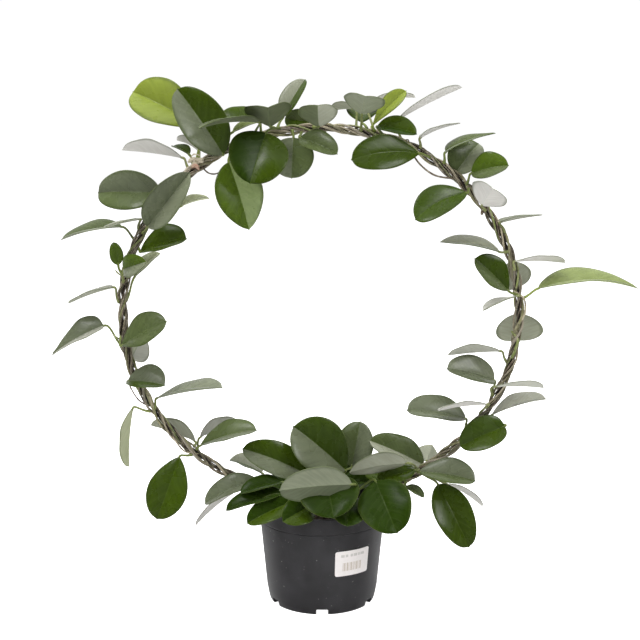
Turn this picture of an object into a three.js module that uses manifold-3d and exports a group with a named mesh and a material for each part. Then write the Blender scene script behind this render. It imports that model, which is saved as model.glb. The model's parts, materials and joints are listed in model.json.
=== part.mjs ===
// A hoya (wax plant) trained round a wire hoop in a black 12 cm nursery pot.
// Millimetres, +Z up. The origin is on the pot's axis, on the surface that the pot stands on.
// The hoop stands in the plane y = 0, and the front of the plant faces -Y.

import * as THREE from "three";
import { mergeVertices } from "three/addons/utils/BufferGeometryUtils.js";
import Module from "manifold-3d";

const wasm = await Module();
wasm.setup();

// ---------------------------------------------------------------- driving dimensions

const POT = {
  height: 95,
  footRadius: 51.3, // of the straight wall, carried down to the ground
  draft: 0.0955, // the wall leans out by this much for each millimetre of height
  wall: 1.3,
  rim: { thick: 1.8, bevel: 0.55 },
  band: { from: 79.4, proud: 0.4, slope: 0.7 }, // the rim band stands a little out of the wall
  toe: { height: 14, bend: 5, bendInset: 0.7, footInset: 1.7 }, // the wall rounds in to the foot
  foot: { inner: 45, flare: 0.3, notchHeight: 5.5, notchWidth: 11, notchDepth: 16, notches: 6 },
  floor: { thick: 1.5, cove: 1.1 },
  hub: { radius: 14, flare: 0.6 }, // the pad in the middle of the underside
  drain: { holes: 6, radius: 3.5, ring: 33, sides: 8 },
  sides: 32,
};

// The sticker spans from 12 to 48 degrees to the right of the pot's front.
const LABEL = { from: 12, to: 48, bottom: 38.5, top: 63, corner: 2, thick: 0.4, steps: 6 };

const SOIL = {
  edge: 84,
  crown: 88,
  shoulders: [[42, 85.6], [26, 87.4], [11, 88]], // [radius, height] from the edge to the middle
  looseness: 0.2, // more than SEAT off the wall
  relief: 0.9,
};

const SEAT = 0.35; // gap between pieces that touch on the real plant

const HOOP = {
  centre: [-1.4, 273],
  halfWidth: 184,
  halfHeight: 172,
  from: 230, // degrees, where the left leg bends off the ring
  to: -50, // where the right leg does
  shoulder: [84, 112], // [x, z] that each leg bends past on its way in
  over: [50, 108],
  entry: [40, 80], // and where it runs straight on into the soil
  foot: 24, // height of the wire's ends in the soil
  wire: 1.3,
  sides: 5,
  steps: 66,
};

const STEM = {
  count: 3,
  radius: 1.3,
  reach: 3.55, // from the wire's middle to the stem's
  twist: 66, // of wire to each turn round it
  foot: 50, // height at which the stems end in the soil
  lengths: 6, // of each stem, end to end
  sides: 4,
  step: 12,
};

const SHOOT = { radius: 1.5, sides: 6 };

const HOLES = { sides: 8, above: 20 }; // plain holes in the soil, cut from this far above it
const MERGE = 0.12; // how far a fused surface may move to lose its smallest triangles

const BLADE = {
  thick: 1.2,
  end: 1, // width at the base and at the tip
  fold: 24, // degrees that each half rises from the rib
  arch: 0.05, // rise of the rib's middle for each millimetre of length
  bend: 0, // and how far it bows sideways
  widest: 0.45, // share of the length
  blunt: 0.65, // less is rounder
  stations: [0, 0.07, 0.25, 0.52, 0.78, 0.94, 1],
};

const STALK = {
  radius: 1,
  spring: 7, // it leaves its stem straight out for about this far
  arrive: 0.3, // share of its length in line with the blade
  corners: [90, 30, -30, -90, -150, 150],
  short: 9, // below this length it has no station on the way
  stations: [0, 0.5],
};

// Where the plant is looked at from, for reading the leaves' places in the front view.
const EYE = new THREE.Vector3(-2, -1162, 467);

const COLOUR = {
  pot: 0x3a3a3b,
  label: 0xe9e6e2,
  soil: 0x1e1a16,
  wire: 0x2c2622,
  leaf: [0x47651f, 0x3f5c22, 0x54702c],
};

// ---------------------------------------------------------------- leaves
// A leaf's node, base and tip are [x, z] as seen from the front, in the hoop's plane: where the
// stalk leaves its stem, where the blade starts and where it ends. depth is how far behind that
// plane (+) or in front of it (-) the blade's base and tip lie. face turns the upper side from
// the viewer (0) to the sky (90) and away (180). form holds what differs from BLADE.

const leaf = (node, base, tip, depth, width, face, form) => {
  return { ...BLADE, node, base, tip, depth, width, face, ...form };
};

const VINE_LEAVES = [
  // upper left
  leaf([-117, 412], [-114, 450], [-171, 481], [8, 30], 43, 20, { blunt: 0.42 }),
  leaf([-92, 416], [-89, 421], [-128, 481], [-8, -6], 48, 8),
  leaf([-122, 409], [-127, 416], [-182, 424], [1, -8], 34, 108, { arch: 0.02 }),
  leaf([-111, 414], [-112, 424], [-132, 434], [8, 34], 18, 108),
  leaf([-119, 409], [-121, 421], [-136, 428], [10, 24], 16, 62),
  leaf([-157, 368], [-148, 383], [-204, 388], [14, 30], 43, 12, { blunt: 0.5 }),
  leaf([-165, 350], [-160, 355], [-120, 405], [-12, -28], 43, 8, { fold: 28 }),
  leaf([-171, 341], [-184, 357], [-240, 345], [2, 10], 32, 80, { fold: 16 }),
  leaf([-165, 352], [-167, 362], [-201, 354], [-5, -20], 22, 88, { fold: 8, arch: 0.02 }),
  leaf([-172, 337], [-167, 336], [-125, 348], [-6, -16], 34, 50, { blunt: 0.5 }),
  leaf([-183, 311], [-188, 320], [-192, 341], [-2, -5], 13, 10, { fold: 10 }),
  leaf([-182, 304], [-183, 316], [-162, 323], [-8, -28], 23, 15),
  leaf([-184, 286], [-174, 309], [-151, 332], [6, 18], 17, 55),
  leaf([-185, 284], [-193, 297], [-234, 284], [-1, 6], 30, 88, { fold: 10, arch: 0.09 }),
  leaf([-129, 384], [-129, 374], [-103, 381], [7, 16], 20, 72),
  // lower left
  leaf([-184, 245], [-204, 259], [-250, 236], [0, -6], 36, 54),
  leaf([-185, 254], [-190, 247], [-147, 269], [-9, -18], 37, 42, { fold: 14 }),
  leaf([-178, 223], [-179, 225], [-170, 246], [9, 22], 34, 170, { blunt: 0.5 }),
  leaf([-175, 214], [-180, 210], [-146, 206], [-9, -20], 35, 48, { blunt: 0.5 }),
  leaf([-158, 184], [-154, 193], [-93, 205], [-1, -10], 34, 80, { fold: 16, arch: 0.06 }),
  leaf([-158, 184], [-177, 184], [-184, 127], [0, 6], 30, 104, { arch: 0.03 }),
  leaf([-120, 147], [-122, 150], [-162, 168], [8, 18], 30, 118),
  leaf([-118, 146], [-115, 150], [-63, 166], [-7, -16], 32, 52),
  leaf([-116, 143], [-115, 158], [-76, 175], [9, 24], 26, 120),
  leaf([-119, 145], [-132, 136], [-157, 76], [-6, -22], 38, 2, { fold: 16 }),
  // top
  leaf([-60, 435], [-58, 450], [-112, 444], [-16, -54], 30, 92, { fold: 14 }),
  leaf([-54, 437], [-58, 452], [-94, 454], [-4, -2], 26, 62),
  leaf([-42, 441], [-39, 446], [-47, 461], [-8, -38], 32, 178, { fold: 22 }),
  leaf([-40, 442], [-39, 455], [-18, 489], [6, 16], 24, 38),
  leaf([-38, 441], [-51, 440], [-66, 394], [-15, -38], 54, 4, { fold: 8, blunt: 0.5 }),
  leaf([-85, 427], [-85, 414], [-67, 353], [-8, -12], 45, 4, { fold: 16 }),
  leaf([-88, 424], [-81, 441], [-54, 451], [6, 14], 13, 58),
  leaf([-27, 443], [-26, 436], [-28, 399], [-7, -9], 42, 8, { fold: 8, blunt: 0.5 }),
  leaf([-19, 443], [-20, 436], [10, 420], [-12, -32], 27, 36),
  leaf([-8, 445], [0, 446], [8, 463], [-8, -38], 36, 178, { fold: 12 }),
  leaf([-14, 445], [-9, 449], [-34, 453], [9, 14], 22, 10),
  leaf([31, 442], [28, 464], [5, 463], [8, 14], 22, 102),
  leaf([35, 441], [36, 457], [39, 473], [-8, -48], 38, 178, { fold: 12 }),
  leaf([40, 440], [37, 455], [39, 471], [9, 46], 31, 4, { fold: 12 }),
  leaf([45, 439], [43, 468], [84, 472], [12, 22], 24, 100, { fold: 12 }),
  leaf([46, 439], [45, 446], [76, 478], [-5, -10], 15, 30, { widest: 0.66 }),
  leaf([54, 437], [51, 441], [85, 442], [-7, -15], 26, 46),
  // upper right
  leaf([97, 417], [91, 419], [30, 411], [-14, -33], 36, 18, { fold: 14, bend: 0.05 }),
  leaf([72, 431], [70, 453], [125, 483], [4, 10], 28, 97, { fold: 14, arch: 0.02 }),
  leaf([87, 423], [89, 435], [125, 448], [-3, 2], 26, 92, { fold: 12, widest: 0.3 }),
  leaf([109, 410], [112, 423], [157, 440], [-3, -8], 28, 74, { fold: 14, widest: 0.3 }),
  leaf([126, 396], [123, 404], [143, 430], [5, 14], 36, 18, { fold: 26, blunt: 0.5 }),
  leaf([130, 392], [136, 405], [170, 412], [-6, -20], 31, 36),
  leaf([149, 371], [147, 377], [158, 393], [-8, -44], 41, 178, { fold: 10 }),
  leaf([133, 390], [132, 388], [92, 360], [-13, -28], 37, 26, { fold: 16, blunt: 0.5, bend: 0.08 }),
  leaf([164, 348], [163, 359], [202, 366], [-4, 3], 26, 86, { fold: 12, arch: 0.02, widest: 0.32 }),
  // lower right
  leaf([170, 332], [163, 332], [108, 341], [-7, -12], 32, 72, { fold: 16, arch: 0.04 }),
  leaf([176, 316], [177, 324], [223, 323], [-4, 4], 28, 97, { fold: 14, arch: 0.03 }),
  leaf([180, 292], [173, 297], [142, 327], [-8, -14], 32, 32),
  leaf([181, 297], [181, 299], [171, 322], [9, 20], 34, 168, { blunt: 0.5 }),
  leaf([183, 288], [200, 300], [292, 300], [-2, 8], 36, 70, { fold: 18, arch: 0.1 }),
  leaf([182, 292], [170, 286], [149, 282], [-11, -16], 15, 60),
  leaf([180, 243], [183, 249], [190, 275], [9, 20], 49, 172, { blunt: 0.45 }),
  leaf([176, 227], [166, 237], [117, 234], [-4, -8], 32, 98, { fold: 16, arch: 0.05 }),
  leaf([163, 194], [157, 211], [117, 222], [-5, -14], 35, 44),
  leaf([164, 195], [162, 206], [208, 205], [-17, -17], 28, 99, { fold: 12, arch: 0.03 }),
  leaf([153, 178], [169, 184], [211, 195], [2, 8], 31, 66),
  leaf([152, 176], [155, 188], [109, 182], [-18, -36], 26, 95, { fold: 12, arch: 0.03 }),
  leaf([138, 160], [134, 172], [81, 186], [-3, -8], 36, 46),
  leaf([146, 170], [169, 169], [127, 149], [-14, -20], 35, 16, { blunt: 0.5 }),
  // over the pot's left side
  leaf([-58, 103], [-59, 115], [-110, 92], [-14, -16], 28, 44, { arch: 0.1 }),
  leaf([-64, 106], [-68, 111], [-118, 71], [8, 8], 18, 100),
  leaf([-47, 101], [-15, 122], [-77, 148], [-8, -14], 37, 20, { fold: 20 }),
  leaf([-52, 99], [-57, 126], [-88, 141], [12, 22], 28, 60),
  // over the pot's right side
  leaf([96, 125], [97, 131], [45, 157], [8, 6], 34, 30, { fold: 26 }),
  leaf([92, 121], [76, 140], [46, 152], [14, 20], 22, 40),
  leaf([100, 128], [99, 133], [104, 149], [9, 34], 31, 170),
  leaf([93, 122], [80, 131], [26, 122], [-24, -44], 30, 128, { fold: 12 }),
  leaf([76, 110], [78, 128], [40, 124], [-4, -4], 27, 20),
  leaf([86, 116], [88, 125], [60, 119], [-16, -20], 22, 30),
  leaf([90, 119], [92, 122], [143, 112], [-12, -26], 32, 40, { blunt: 0.5 }),
  leaf([94, 122], [105, 109], [140, 48], [-6, -26], 39, 4),
  leaf([96, 124], [121, 111], [154, 90], [8, 14], 18, 100),
  leaf([80, 112], [79, 106], [95, 94], [-9, -16], 13, 45),
];

// Leafy shoots that rise from the soil in the middle of the pot.
// foot and head are the [x, y, z] of the shoot's two ends; here a leaf's node is a height.
const SHOOTS = [
  {
    name: "shoot_left",
    foot: [-16, -20, 62],
    head: [-22, -28, 106],
    leaves: [
      leaf(98, [-37, 103], [-89, 86], [-34, -38], 28, 52),
      leaf(94, [-26, 93], [-69, 71], [-38, -52], 28, 24, { blunt: 0.5 }),
      leaf(104, [-38, 112], [-78, 101], [-27, -35], 24, 52),
      leaf(91, [-9, 89], [-38, 73], [-50, -68], 31, 8),
    ],
  },
  {
    name: "shoot_front",
    foot: [22, -18, 62],
    head: [27, -26, 116],
    leaves: [
      leaf(113, [28, 110], [-41, 104], [-38, -58], 35, 150, { fold: 8, arch: 0.02 }),
      leaf(108, [34, 101], [-19, 85], [-34, -66], 46, 24, { fold: 8 }),
      leaf(98, [22, 97], [16, 67], [-30, -72], 42, 6, { fold: 8, blunt: 0.5, arch: 0.08 }),
      leaf(104, [48, 113], [69, 61], [-34, -72], 50, 2, { fold: 8 }),
    ],
  },
  {
    name: "shoot_centre",
    foot: [10, 8, 62],
    head: [20, 4, 126],
    leaves: [
      leaf(118, [21, 124], [-33, 166], [0, -8], 53, 12, { fold: 20, blunt: 0.5 }),
      leaf(122, [28, 127], [37, 170], [14, 22], 40, 8, { blunt: 0.5 }),
      leaf(110, [6, 119], [-12, 140], [22, 50], 36, 6),
    ],
  },
  {
    name: "shoot_back",
    foot: [4, 26, 62],
    head: [2, 34, 114],
    leaves: [
      leaf(106, [-6, 117], [-34, 124], [40, 80], 38, 30),
      leaf(108, [16, 117], [46, 124], [40, 80], 40, 30),
      leaf(104, [-16, 112], [-60, 117], [34, 40], 32, 60),
      leaf(111, [22, 118], [68, 126], [32, 38], 32, 60),
    ],
  },
];

// ---------------------------------------------------------------- solids

const FORWARD = new THREE.Vector3(0, -1, 0);
const SAME_POINT = 1e-3; // millimetres
const { degToRad: radians, lerp } = THREE.MathUtils;

/** A closed three.js geometry as a solid that can be joined and cut. */
function solidOf(geometry) {
  const bare = geometry.index ? geometry.toNonIndexed() : geometry.clone();
  bare.deleteAttribute("normal");
  bare.deleteAttribute("uv");
  const merged = mergeVertices(bare, SAME_POINT);
  const vertProperties = new Float32Array(merged.attributes.position.array);
  const triVerts = new Uint32Array(withoutSlivers(merged.index.array));
  return new wasm.Manifold(new wasm.Mesh({ numProp: 3, vertProperties, triVerts }));
}

/** The triangles whose three corners are still three different points. */
function withoutSlivers(index) {
  const kept = [];
  for (let i = 0; i < index.length; i += 3) {
    const [a, b, c] = [index[i], index[i + 1], index[i + 2]];
    if (a !== b && b !== c && c !== a) {
      kept.push(a, b, c);
    }
  }
  return kept;
}

/** A solid turned back into a three.js geometry. */
function geometryOf(solid) {
  const mesh = solid.getMesh();
  const geometry = new THREE.BufferGeometry();
  geometry.setAttribute("position", new THREE.BufferAttribute(mesh.vertProperties, mesh.numProp));
  geometry.setIndex(new THREE.BufferAttribute(mesh.triVerts, 1));
  geometry.computeVertexNormals();
  return geometry;
}

/** A solid of revolution about Z from [radius, height] points that start and end on the axis. */
function turned(profile, sides) {
  const points = profile.map(([radius, height]) => new THREE.Vector2(radius, height));
  return new THREE.LatheGeometry(points, sides).rotateX(Math.PI / 2);
}

/** A round bar between two points. */
function bar(from, to, radius, sides) {
  const section = polygon(radius, sides);
  const path = new THREE.LineCurve3(from, to);
  return new THREE.ExtrudeGeometry(section, { steps: 1, bevelEnabled: false, extrudePath: path });
}

/** A regular polygon as a flat shape. */
function polygon(radius, sides) {
  const shape = new THREE.Shape();
  for (let i = 0; i < sides; i += 1) {
    const angle = (2 * Math.PI * i) / sides;
    const [x, y] = [radius * Math.cos(angle), radius * Math.sin(angle)];
    if (i === 0) {
      shape.moveTo(x, y);
    } else {
      shape.lineTo(x, y);
    }
  }
  return shape;
}

/**
 * A closed skin over rings of points, each ring the same length, with a fan over each end.
 * leansBack(j) says that the quads on ring edge j are split along their other diagonal.
 */
function loft(rings, leansBack = () => false) {
  const size = rings[0].length;
  const at = (i, j) => i * size + (j % size);
  const index = [];
  for (let i = 0; i + 1 < rings.length; i += 1) {
    for (let j = 0; j < size; j += 1) {
      const [a, b, c, d] = [at(i, j), at(i, j + 1), at(i + 1, j + 1), at(i + 1, j)];
      if (leansBack(j)) {
        index.push(a, b, d, b, c, d);
      } else {
        index.push(a, b, c, a, c, d);
      }
    }
  }
  const last = rings.length - 1;
  for (let j = 1; j + 1 < size; j += 1) {
    index.push(at(0, 0), at(0, j + 1), at(0, j));
    index.push(at(last, 0), at(last, j), at(last, j + 1));
  }
  const geometry = new THREE.BufferGeometry().setFromPoints(rings.flat());
  geometry.setIndex(index);
  geometry.computeVertexNormals();
  return geometry;
}

// ---------------------------------------------------------------- pot

const outerRadius = (z) => POT.footRadius + POT.draft * z;
const innerRadius = (z) => outerRadius(z) - POT.wall;
const FLOOR_TOP = POT.foot.notchHeight + POT.floor.thick;

function potSolid() {
  const { height, rim, band, toe, foot, floor, hub, drain, sides } = POT;
  const lip = outerRadius(height) + band.proud;
  const profile = [
    [0, 0],
    [hub.radius, 0],
    [hub.radius + hub.flare, foot.notchHeight],
    [foot.inner, foot.notchHeight],
    [foot.inner + foot.flare, 0],
    [outerRadius(0) - toe.footInset, 0],
    [outerRadius(toe.bend) - toe.bendInset, toe.bend],
    [outerRadius(toe.height), toe.height],
    [outerRadius(band.from), band.from],
    [outerRadius(band.from) + band.proud, band.from + band.slope],
    [lip, height - rim.bevel],
    [lip - rim.bevel, height],
    [lip - rim.thick, height],
    [innerRadius(toe.height), toe.height],
    [innerRadius(toe.bend) - toe.bendInset, FLOOR_TOP + floor.cove],
    [innerRadius(toe.bend) - toe.bendInset - floor.cove, FLOOR_TOP],
    [0, FLOOR_TOP],
  ];
  const cuts = [];
  for (let i = 0; i < foot.notches; i += 1) {
    const { notchWidth, notchDepth, notchHeight } = foot;
    const notch = new THREE.BoxGeometry(notchWidth, notchDepth, 2 * notchHeight);
    notch.translate(0, -outerRadius(0), 0);
    cuts.push(solidOf(notch.rotateZ((2 * Math.PI * i) / foot.notches)));
  }
  for (let i = 0; i < drain.holes; i += 1) {
    const angle = (2 * Math.PI * (i + 0.5)) / drain.holes;
    const low = new THREE.Vector3(drain.ring * Math.cos(angle), drain.ring * Math.sin(angle), 0);
    const high = low.clone().setZ(2 * FLOOR_TOP);
    cuts.push(solidOf(bar(low, high, drain.radius, drain.sides)));
  }
  return cuts.reduce((pot, cut) => pot.subtract(cut), solidOf(turned(profile, sides)));
}

/** The sticker's skin, bent round the wall, with its corners rounded by shorter sections. */
function labelGeometry() {
  const { from, to, bottom, top, corner, thick, steps } = LABEL;
  const reach = radians(to - from);
  const turn = corner / outerRadius((bottom + top) / 2);
  const rounding = [0, 0.3 * turn, turn];
  const stations = [...rounding, ...rounding.map((angle) => reach - angle)];
  for (let i = 1; i < steps; i += 1) {
    stations.push(lerp(turn, reach - turn, i / steps));
  }
  stations.sort((a, b) => a - b);
  const rings = stations.map((turned) => {
    const inwards = Math.max(0, 1 - Math.min(turned, reach - turned) / turn);
    const inset = corner * (1 - Math.sqrt(1 - inwards * inwards));
    const angle = turned + radians(from) - Math.PI / 2;
    const corners = [
      [bottom + inset, SEAT + thick],
      [bottom + inset, SEAT],
      [top - inset, SEAT],
      [top - inset, SEAT + thick],
    ];
    return corners.map(([z, out]) => {
      const radius = outerRadius(z) + out;
      return new THREE.Vector3(radius * Math.cos(angle), radius * Math.sin(angle), z);
    });
  });
  return loft(rings);
}

// ---------------------------------------------------------------- hoop

/** Part of the hoop's ring, in the plane y = 0, from one angle to another. */
class RingArc extends THREE.Curve {
  constructor(from, to) {
    super();
    this.from = radians(from);
    this.to = radians(to);
  }

  getPoint(t, target = new THREE.Vector3()) {
    const angle = lerp(this.from, this.to, t);
    const x = HOOP.centre[0] + HOOP.halfWidth * Math.cos(angle);
    const z = HOOP.centre[1] + HOOP.halfHeight * Math.sin(angle);
    return target.set(x, 0, z);
  }
}

/** Where a leg of the hoop meets the soil, and its end in the soil. */
function legEnds(side) {
  const [entry, over] = [HOOP.entry, HOOP.over].map(([x, z]) => new THREE.Vector3(side * x, 0, z));
  const down = entry.clone().sub(over).normalize();
  return [entry, entry.clone().addScaledVector(down, (HOOP.foot - entry.z) / down.z)];
}

/** The wire's line: out of the soil on the left, round the ring and back in on the right. */
function hoopLine() {
  const ring = new RingArc(HOOP.from, HOOP.to);
  const bend = (side, start) => {
    const turns = [HOOP.shoulder, HOOP.over].map(([x, z]) => new THREE.Vector3(side * x, 0, z));
    return [start, ...turns, legEnds(side)[0]];
  };
  const line = new THREE.CurvePath();
  line.add(new THREE.LineCurve3(...legEnds(-1).reverse()));
  line.add(new THREE.CubicBezierCurve3(...bend(-1, ring.getPoint(0)).reverse()));
  line.add(ring);
  line.add(new THREE.CubicBezierCurve3(...bend(1, ring.getPoint(1))));
  line.add(new THREE.LineCurve3(...legEnds(1)));
  return line;
}

const WIRE_LINE = hoopLine();
const WIRE_LENGTH = WIRE_LINE.getLength();
const TRACK = WIRE_LINE.getSpacedPoints(Math.round(WIRE_LENGTH)); // a point each millimetre

/** The wire's middle and its outward direction at a distance along it. */
function alongWire(distance) {
  const last = TRACK.length - 1;
  const place = (distance / WIRE_LENGTH) * last;
  const i = Math.min(Math.floor(place), last - 1);
  const point = TRACK[i].clone().lerp(TRACK[i + 1], place - i);
  const before = TRACK[Math.max(0, i - 2)];
  const after = TRACK[Math.min(last, i + 3)];
  const outward = FORWARD.clone().cross(after.clone().sub(before)).normalize();
  return { point, outward };
}

/** The distance along the wire that is nearest to a point of the front view. */
function nearestOnWire([x, z]) {
  let best = 0;
  TRACK.forEach((point, i) => {
    const far = Math.hypot(point.x - x, point.z - z);
    if (far < Math.hypot(TRACK[best].x - x, TRACK[best].z - z)) {
      best = i;
    }
  });
  return (best / (TRACK.length - 1)) * WIRE_LENGTH;
}

/** How far along the wire its left leg reaches a height above the ground. */
function distanceAtHeight(height) {
  const i = TRACK.findIndex((point) => point.z >= height);
  return (i / (TRACK.length - 1)) * WIRE_LENGTH;
}

/** One of the stems that twine round the wire, between two distances along it. */
class TwiningStem extends THREE.Curve {
  constructor(stem, from, to) {
    super();
    this.phase = (2 * Math.PI * stem) / STEM.count;
    this.from = from;
    this.to = to;
  }

  at(distance) {
    const { point, outward } = alongWire(distance);
    const turn = this.phase + (2 * Math.PI * distance) / STEM.twist;
    const away = outward.multiplyScalar(Math.cos(turn)).addScaledVector(FORWARD, Math.sin(turn));
    return { point: point.addScaledVector(away, STEM.reach), away };
  }

  getPoint(t, target = new THREE.Vector3()) {
    return target.copy(this.at(lerp(this.from, this.to, t)).point);
  }
}

function tube(path, radius, sides, steps) {
  const section = polygon(radius, sides);
  return new THREE.ExtrudeGeometry(section, { steps, bevelEnabled: false, extrudePath: path });
}

// ---------------------------------------------------------------- leaf

/** The point at a depth on the line of sight through [x, z] of the hoop's plane. */
function sighted([x, z], depth) {
  const share = (depth - EYE.y) / -EYE.y;
  return EYE.clone().lerp(new THREE.Vector3(x, 0, z), share);
}

/** Half the blade's width, from 0 to 1, at a share of the way from its base to its tip. */
function outline(share, widest, blunt) {
  const power = Math.log(0.5) / Math.log(widest);
  return Math.sin(Math.PI * Math.min(1, share) ** power) ** blunt;
}

/** One leaf with its stalk, from a point inside its stem to the blade's tip. */
function leafSolid({ fold, arch, bend, widest, blunt, width, face, ...leaf }, root, away) {
  const base = sighted(leaf.base, leaf.depth[0]);
  const tip = sighted(leaf.tip, leaf.depth[1]);
  const along = tip.clone().sub(base);
  const length = along.length();
  along.normalize();

  const middle = base.clone().lerp(tip, 0.5);
  const toViewer = EYE.clone().sub(middle).projectOnPlane(along).normalize();
  const upward = along.clone().cross(toViewer);
  if (upward.z < 0) {
    upward.negate();
  }
  const turn = radians(face);
  const normal = toViewer.multiplyScalar(Math.cos(turn)).addScaledVector(upward, Math.sin(turn));
  const across = along.clone().cross(normal);
  const rise = radians(fold);

  const start = along
    .clone()
    .addScaledVector(normal, 4 * arch)
    .addScaledVector(across, 4 * bend)
    .normalize();
  const reach = base.distanceTo(root);
  const stalk = new THREE.CubicBezierCurve3(
    root,
    root.clone().addScaledVector(away, STEM.radius + Math.min(STALK.spring, reach / 2)),
    base.clone().addScaledVector(start, -STALK.arrive * reach),
    base,
  );

  const stations = reach < STALK.short ? STALK.stations.slice(0, 1) : STALK.stations;
  const rings = stations.map((t) => {
    const point = stalk.getPoint(t);
    const heading = stalk.getTangent(t);
    const side = heading.clone().cross(normal).normalize();
    const top = side.clone().cross(heading);
    return STALK.corners.map((degrees) => {
      const angle = radians(degrees);
      return point
        .clone()
        .addScaledVector(side, STALK.radius * Math.cos(angle))
        .addScaledVector(top, STALK.radius * Math.sin(angle));
    });
  });
  for (const share of BLADE.stations) {
    const bow = 4 * length * share * (1 - share);
    const rib = base
      .clone()
      .addScaledVector(along, length * share)
      .addScaledVector(normal, arch * bow)
      .addScaledVector(across, bend * bow);
    const half = Math.max(BLADE.end, width * outline(share, widest, blunt)) / 2;
    const up = normal.clone().multiplyScalar(BLADE.thick / 2);
    const [right, left] = [half, -half].map((out) =>
      rib
        .clone()
        .addScaledVector(across, out * Math.cos(rise))
        .addScaledVector(normal, half * Math.sin(rise)),
    );
    rings.push([
      rib.clone().add(up),
      right.clone().add(up),
      right.clone().sub(up),
      rib.clone().sub(up),
      left.clone().sub(up),
      left.clone().add(up),
    ]);
  }
  return solidOf(loft(rings, (j) => j === 2 || j === 5));
}

/** The twining stem nearest to a leaf's base at its node, with the point it springs from. */
function springOnVine(leaf) {
  const distance = nearestOnWire(leaf.node);
  const base = sighted(leaf.base, leaf.depth[0]);
  const springs = [...Array(STEM.count).keys()].map((stem) => ({
    stem,
    distance,
    ...new TwiningStem(stem, 0, WIRE_LENGTH).at(distance),
  }));
  return springs.sort((a, b) => a.point.distanceTo(base) - b.point.distanceTo(base))[0];
}

// ---------------------------------------------------------------- the plant

const plant = new THREE.Group();

function place(name, geometry, color, roughness = 0.4) {
  const material = new THREE.MeshStandardMaterial({ color, roughness });
  const mesh = new THREE.Mesh(geometry, material);
  mesh.name = name;
  plant.add(mesh);
}

/** Every length of the twining stems, each fused with its own leaves. */
function placeVines() {
  const from = distanceAtHeight(STEM.foot);
  const to = WIRE_LENGTH - from;
  const length = (to - from) / STEM.lengths;
  const springs = VINE_LEAVES.map((leaf) => ({ leaf, ...springOnVine(leaf) }));
  for (let stem = 0; stem < STEM.count; stem += 1) {
    for (let part = 0; part < STEM.lengths; part += 1) {
      const [low, high] = [from + part * length, from + (part + 1) * length];
      const path = new TwiningStem(stem, low + SEAT / 2, high - SEAT / 2);
      const steps = Math.round(length / STEM.step);
      const pieces = [solidOf(tube(path, STEM.radius, STEM.sides, steps))];
      for (const spring of springs) {
        if (spring.stem === stem && spring.distance >= low && spring.distance < high) {
          pieces.push(leafSolid(spring.leaf, spring.point, spring.away));
        }
      }
      const solid = pieces.reduce((whole, piece) => whole.add(piece)).simplify(MERGE);
      const name = `vine_${stem + 1}_length_${part + 1}`;
      place(name, geometryOf(solid), COLOUR.leaf[stem]);
    }
  }
}

function placeShoots() {
  for (const shoot of SHOOTS) {
    const [foot, head] = [new THREE.Vector3(...shoot.foot), new THREE.Vector3(...shoot.head)];
    const pieces = [solidOf(bar(foot, head, SHOOT.radius, SHOOT.sides))];
    for (const leaf of shoot.leaves) {
      const spring = foot.clone().lerp(head, (leaf.node - foot.z) / (head.z - foot.z));
      const away = sighted(leaf.base, leaf.depth[0]).sub(spring).normalize();
      pieces.push(leafSolid(leaf, spring, away));
    }
    const solid = pieces.reduce((whole, piece) => whole.add(piece)).simplify(MERGE);
    place(shoot.name, geometryOf(solid), COLOUR.leaf[0]);
  }
}

/** The filling of the pot, with a plain hole for each leg of the hoop and each shoot. */
function soilSolid() {
  const { edge, crown, shoulders, looseness, relief } = SOIL;
  const slack = SEAT + looseness;
  const profile = [
    [0, FLOOR_TOP + SEAT],
    [innerRadius(POT.toe.bend) - 2 * POT.floor.cove, FLOOR_TOP + SEAT],
    [innerRadius(POT.toe.height) - slack, POT.toe.height],
    [innerRadius(edge) - slack, edge],
    ...shoulders,
    [0, crown],
  ];
  const body = turned(profile, POT.sides);
  const position = body.attributes.position;
  for (let i = 0; i < position.count; i += 1) {
    const [x, y, z] = [position.getX(i), position.getY(i), position.getZ(i)];
    if (z > edge) {
      position.setZ(i, z + relief * Math.sin(x / 3 + 1) * Math.cos(y / 4 - x / 9));
    }
  }
  let soil = solidOf(body);
  const drill = (above, below, radius) => {
    soil = soil.subtract(solidOf(bar(above, below, radius, HOLES.sides)));
  };
  for (const side of [-1, 1]) {
    const [entry, foot] = legEnds(side);
    const up = entry.clone().sub(foot).normalize();
    const above = entry.clone().addScaledVector(up, HOLES.above);
    const stemsEnd = foot.clone().addScaledVector(up, (STEM.foot - foot.z) / up.z - STEM.radius);
    drill(above, foot.clone().addScaledVector(up, -SEAT), HOOP.wire + 2 * SEAT);
    drill(above, stemsEnd, STEM.reach + STEM.radius + 3 * SEAT);
  }
  for (const shoot of SHOOTS) {
    const [foot, head] = [new THREE.Vector3(...shoot.foot), new THREE.Vector3(...shoot.head)];
    const down = foot.clone().sub(head).normalize();
    drill(head, foot.addScaledVector(down, SEAT), SHOOT.radius + 2 * SEAT);
  }
  return soil;
}

place("pot", geometryOf(potSolid()), COLOUR.pot, 0.55);
place("label", labelGeometry(), COLOUR.label, 0.5);
place("soil", geometryOf(soilSolid()), COLOUR.soil, 0.95);
place("hoop", tube(WIRE_LINE, HOOP.wire, HOOP.sides, HOOP.steps), COLOUR.wire, 0.5);
placeVines();
placeShoots();

export default plant;
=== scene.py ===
"""A hoya trained round a wire hoop in a black nursery pot, dressed for the render.

Every length is in millimetres, in the frame of the CAD model: +Z up, the pot's axis on the origin,
the hoop in the plane y = 0 and the front of the plant facing -Y. Meshes are made in metres.
"""

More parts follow.
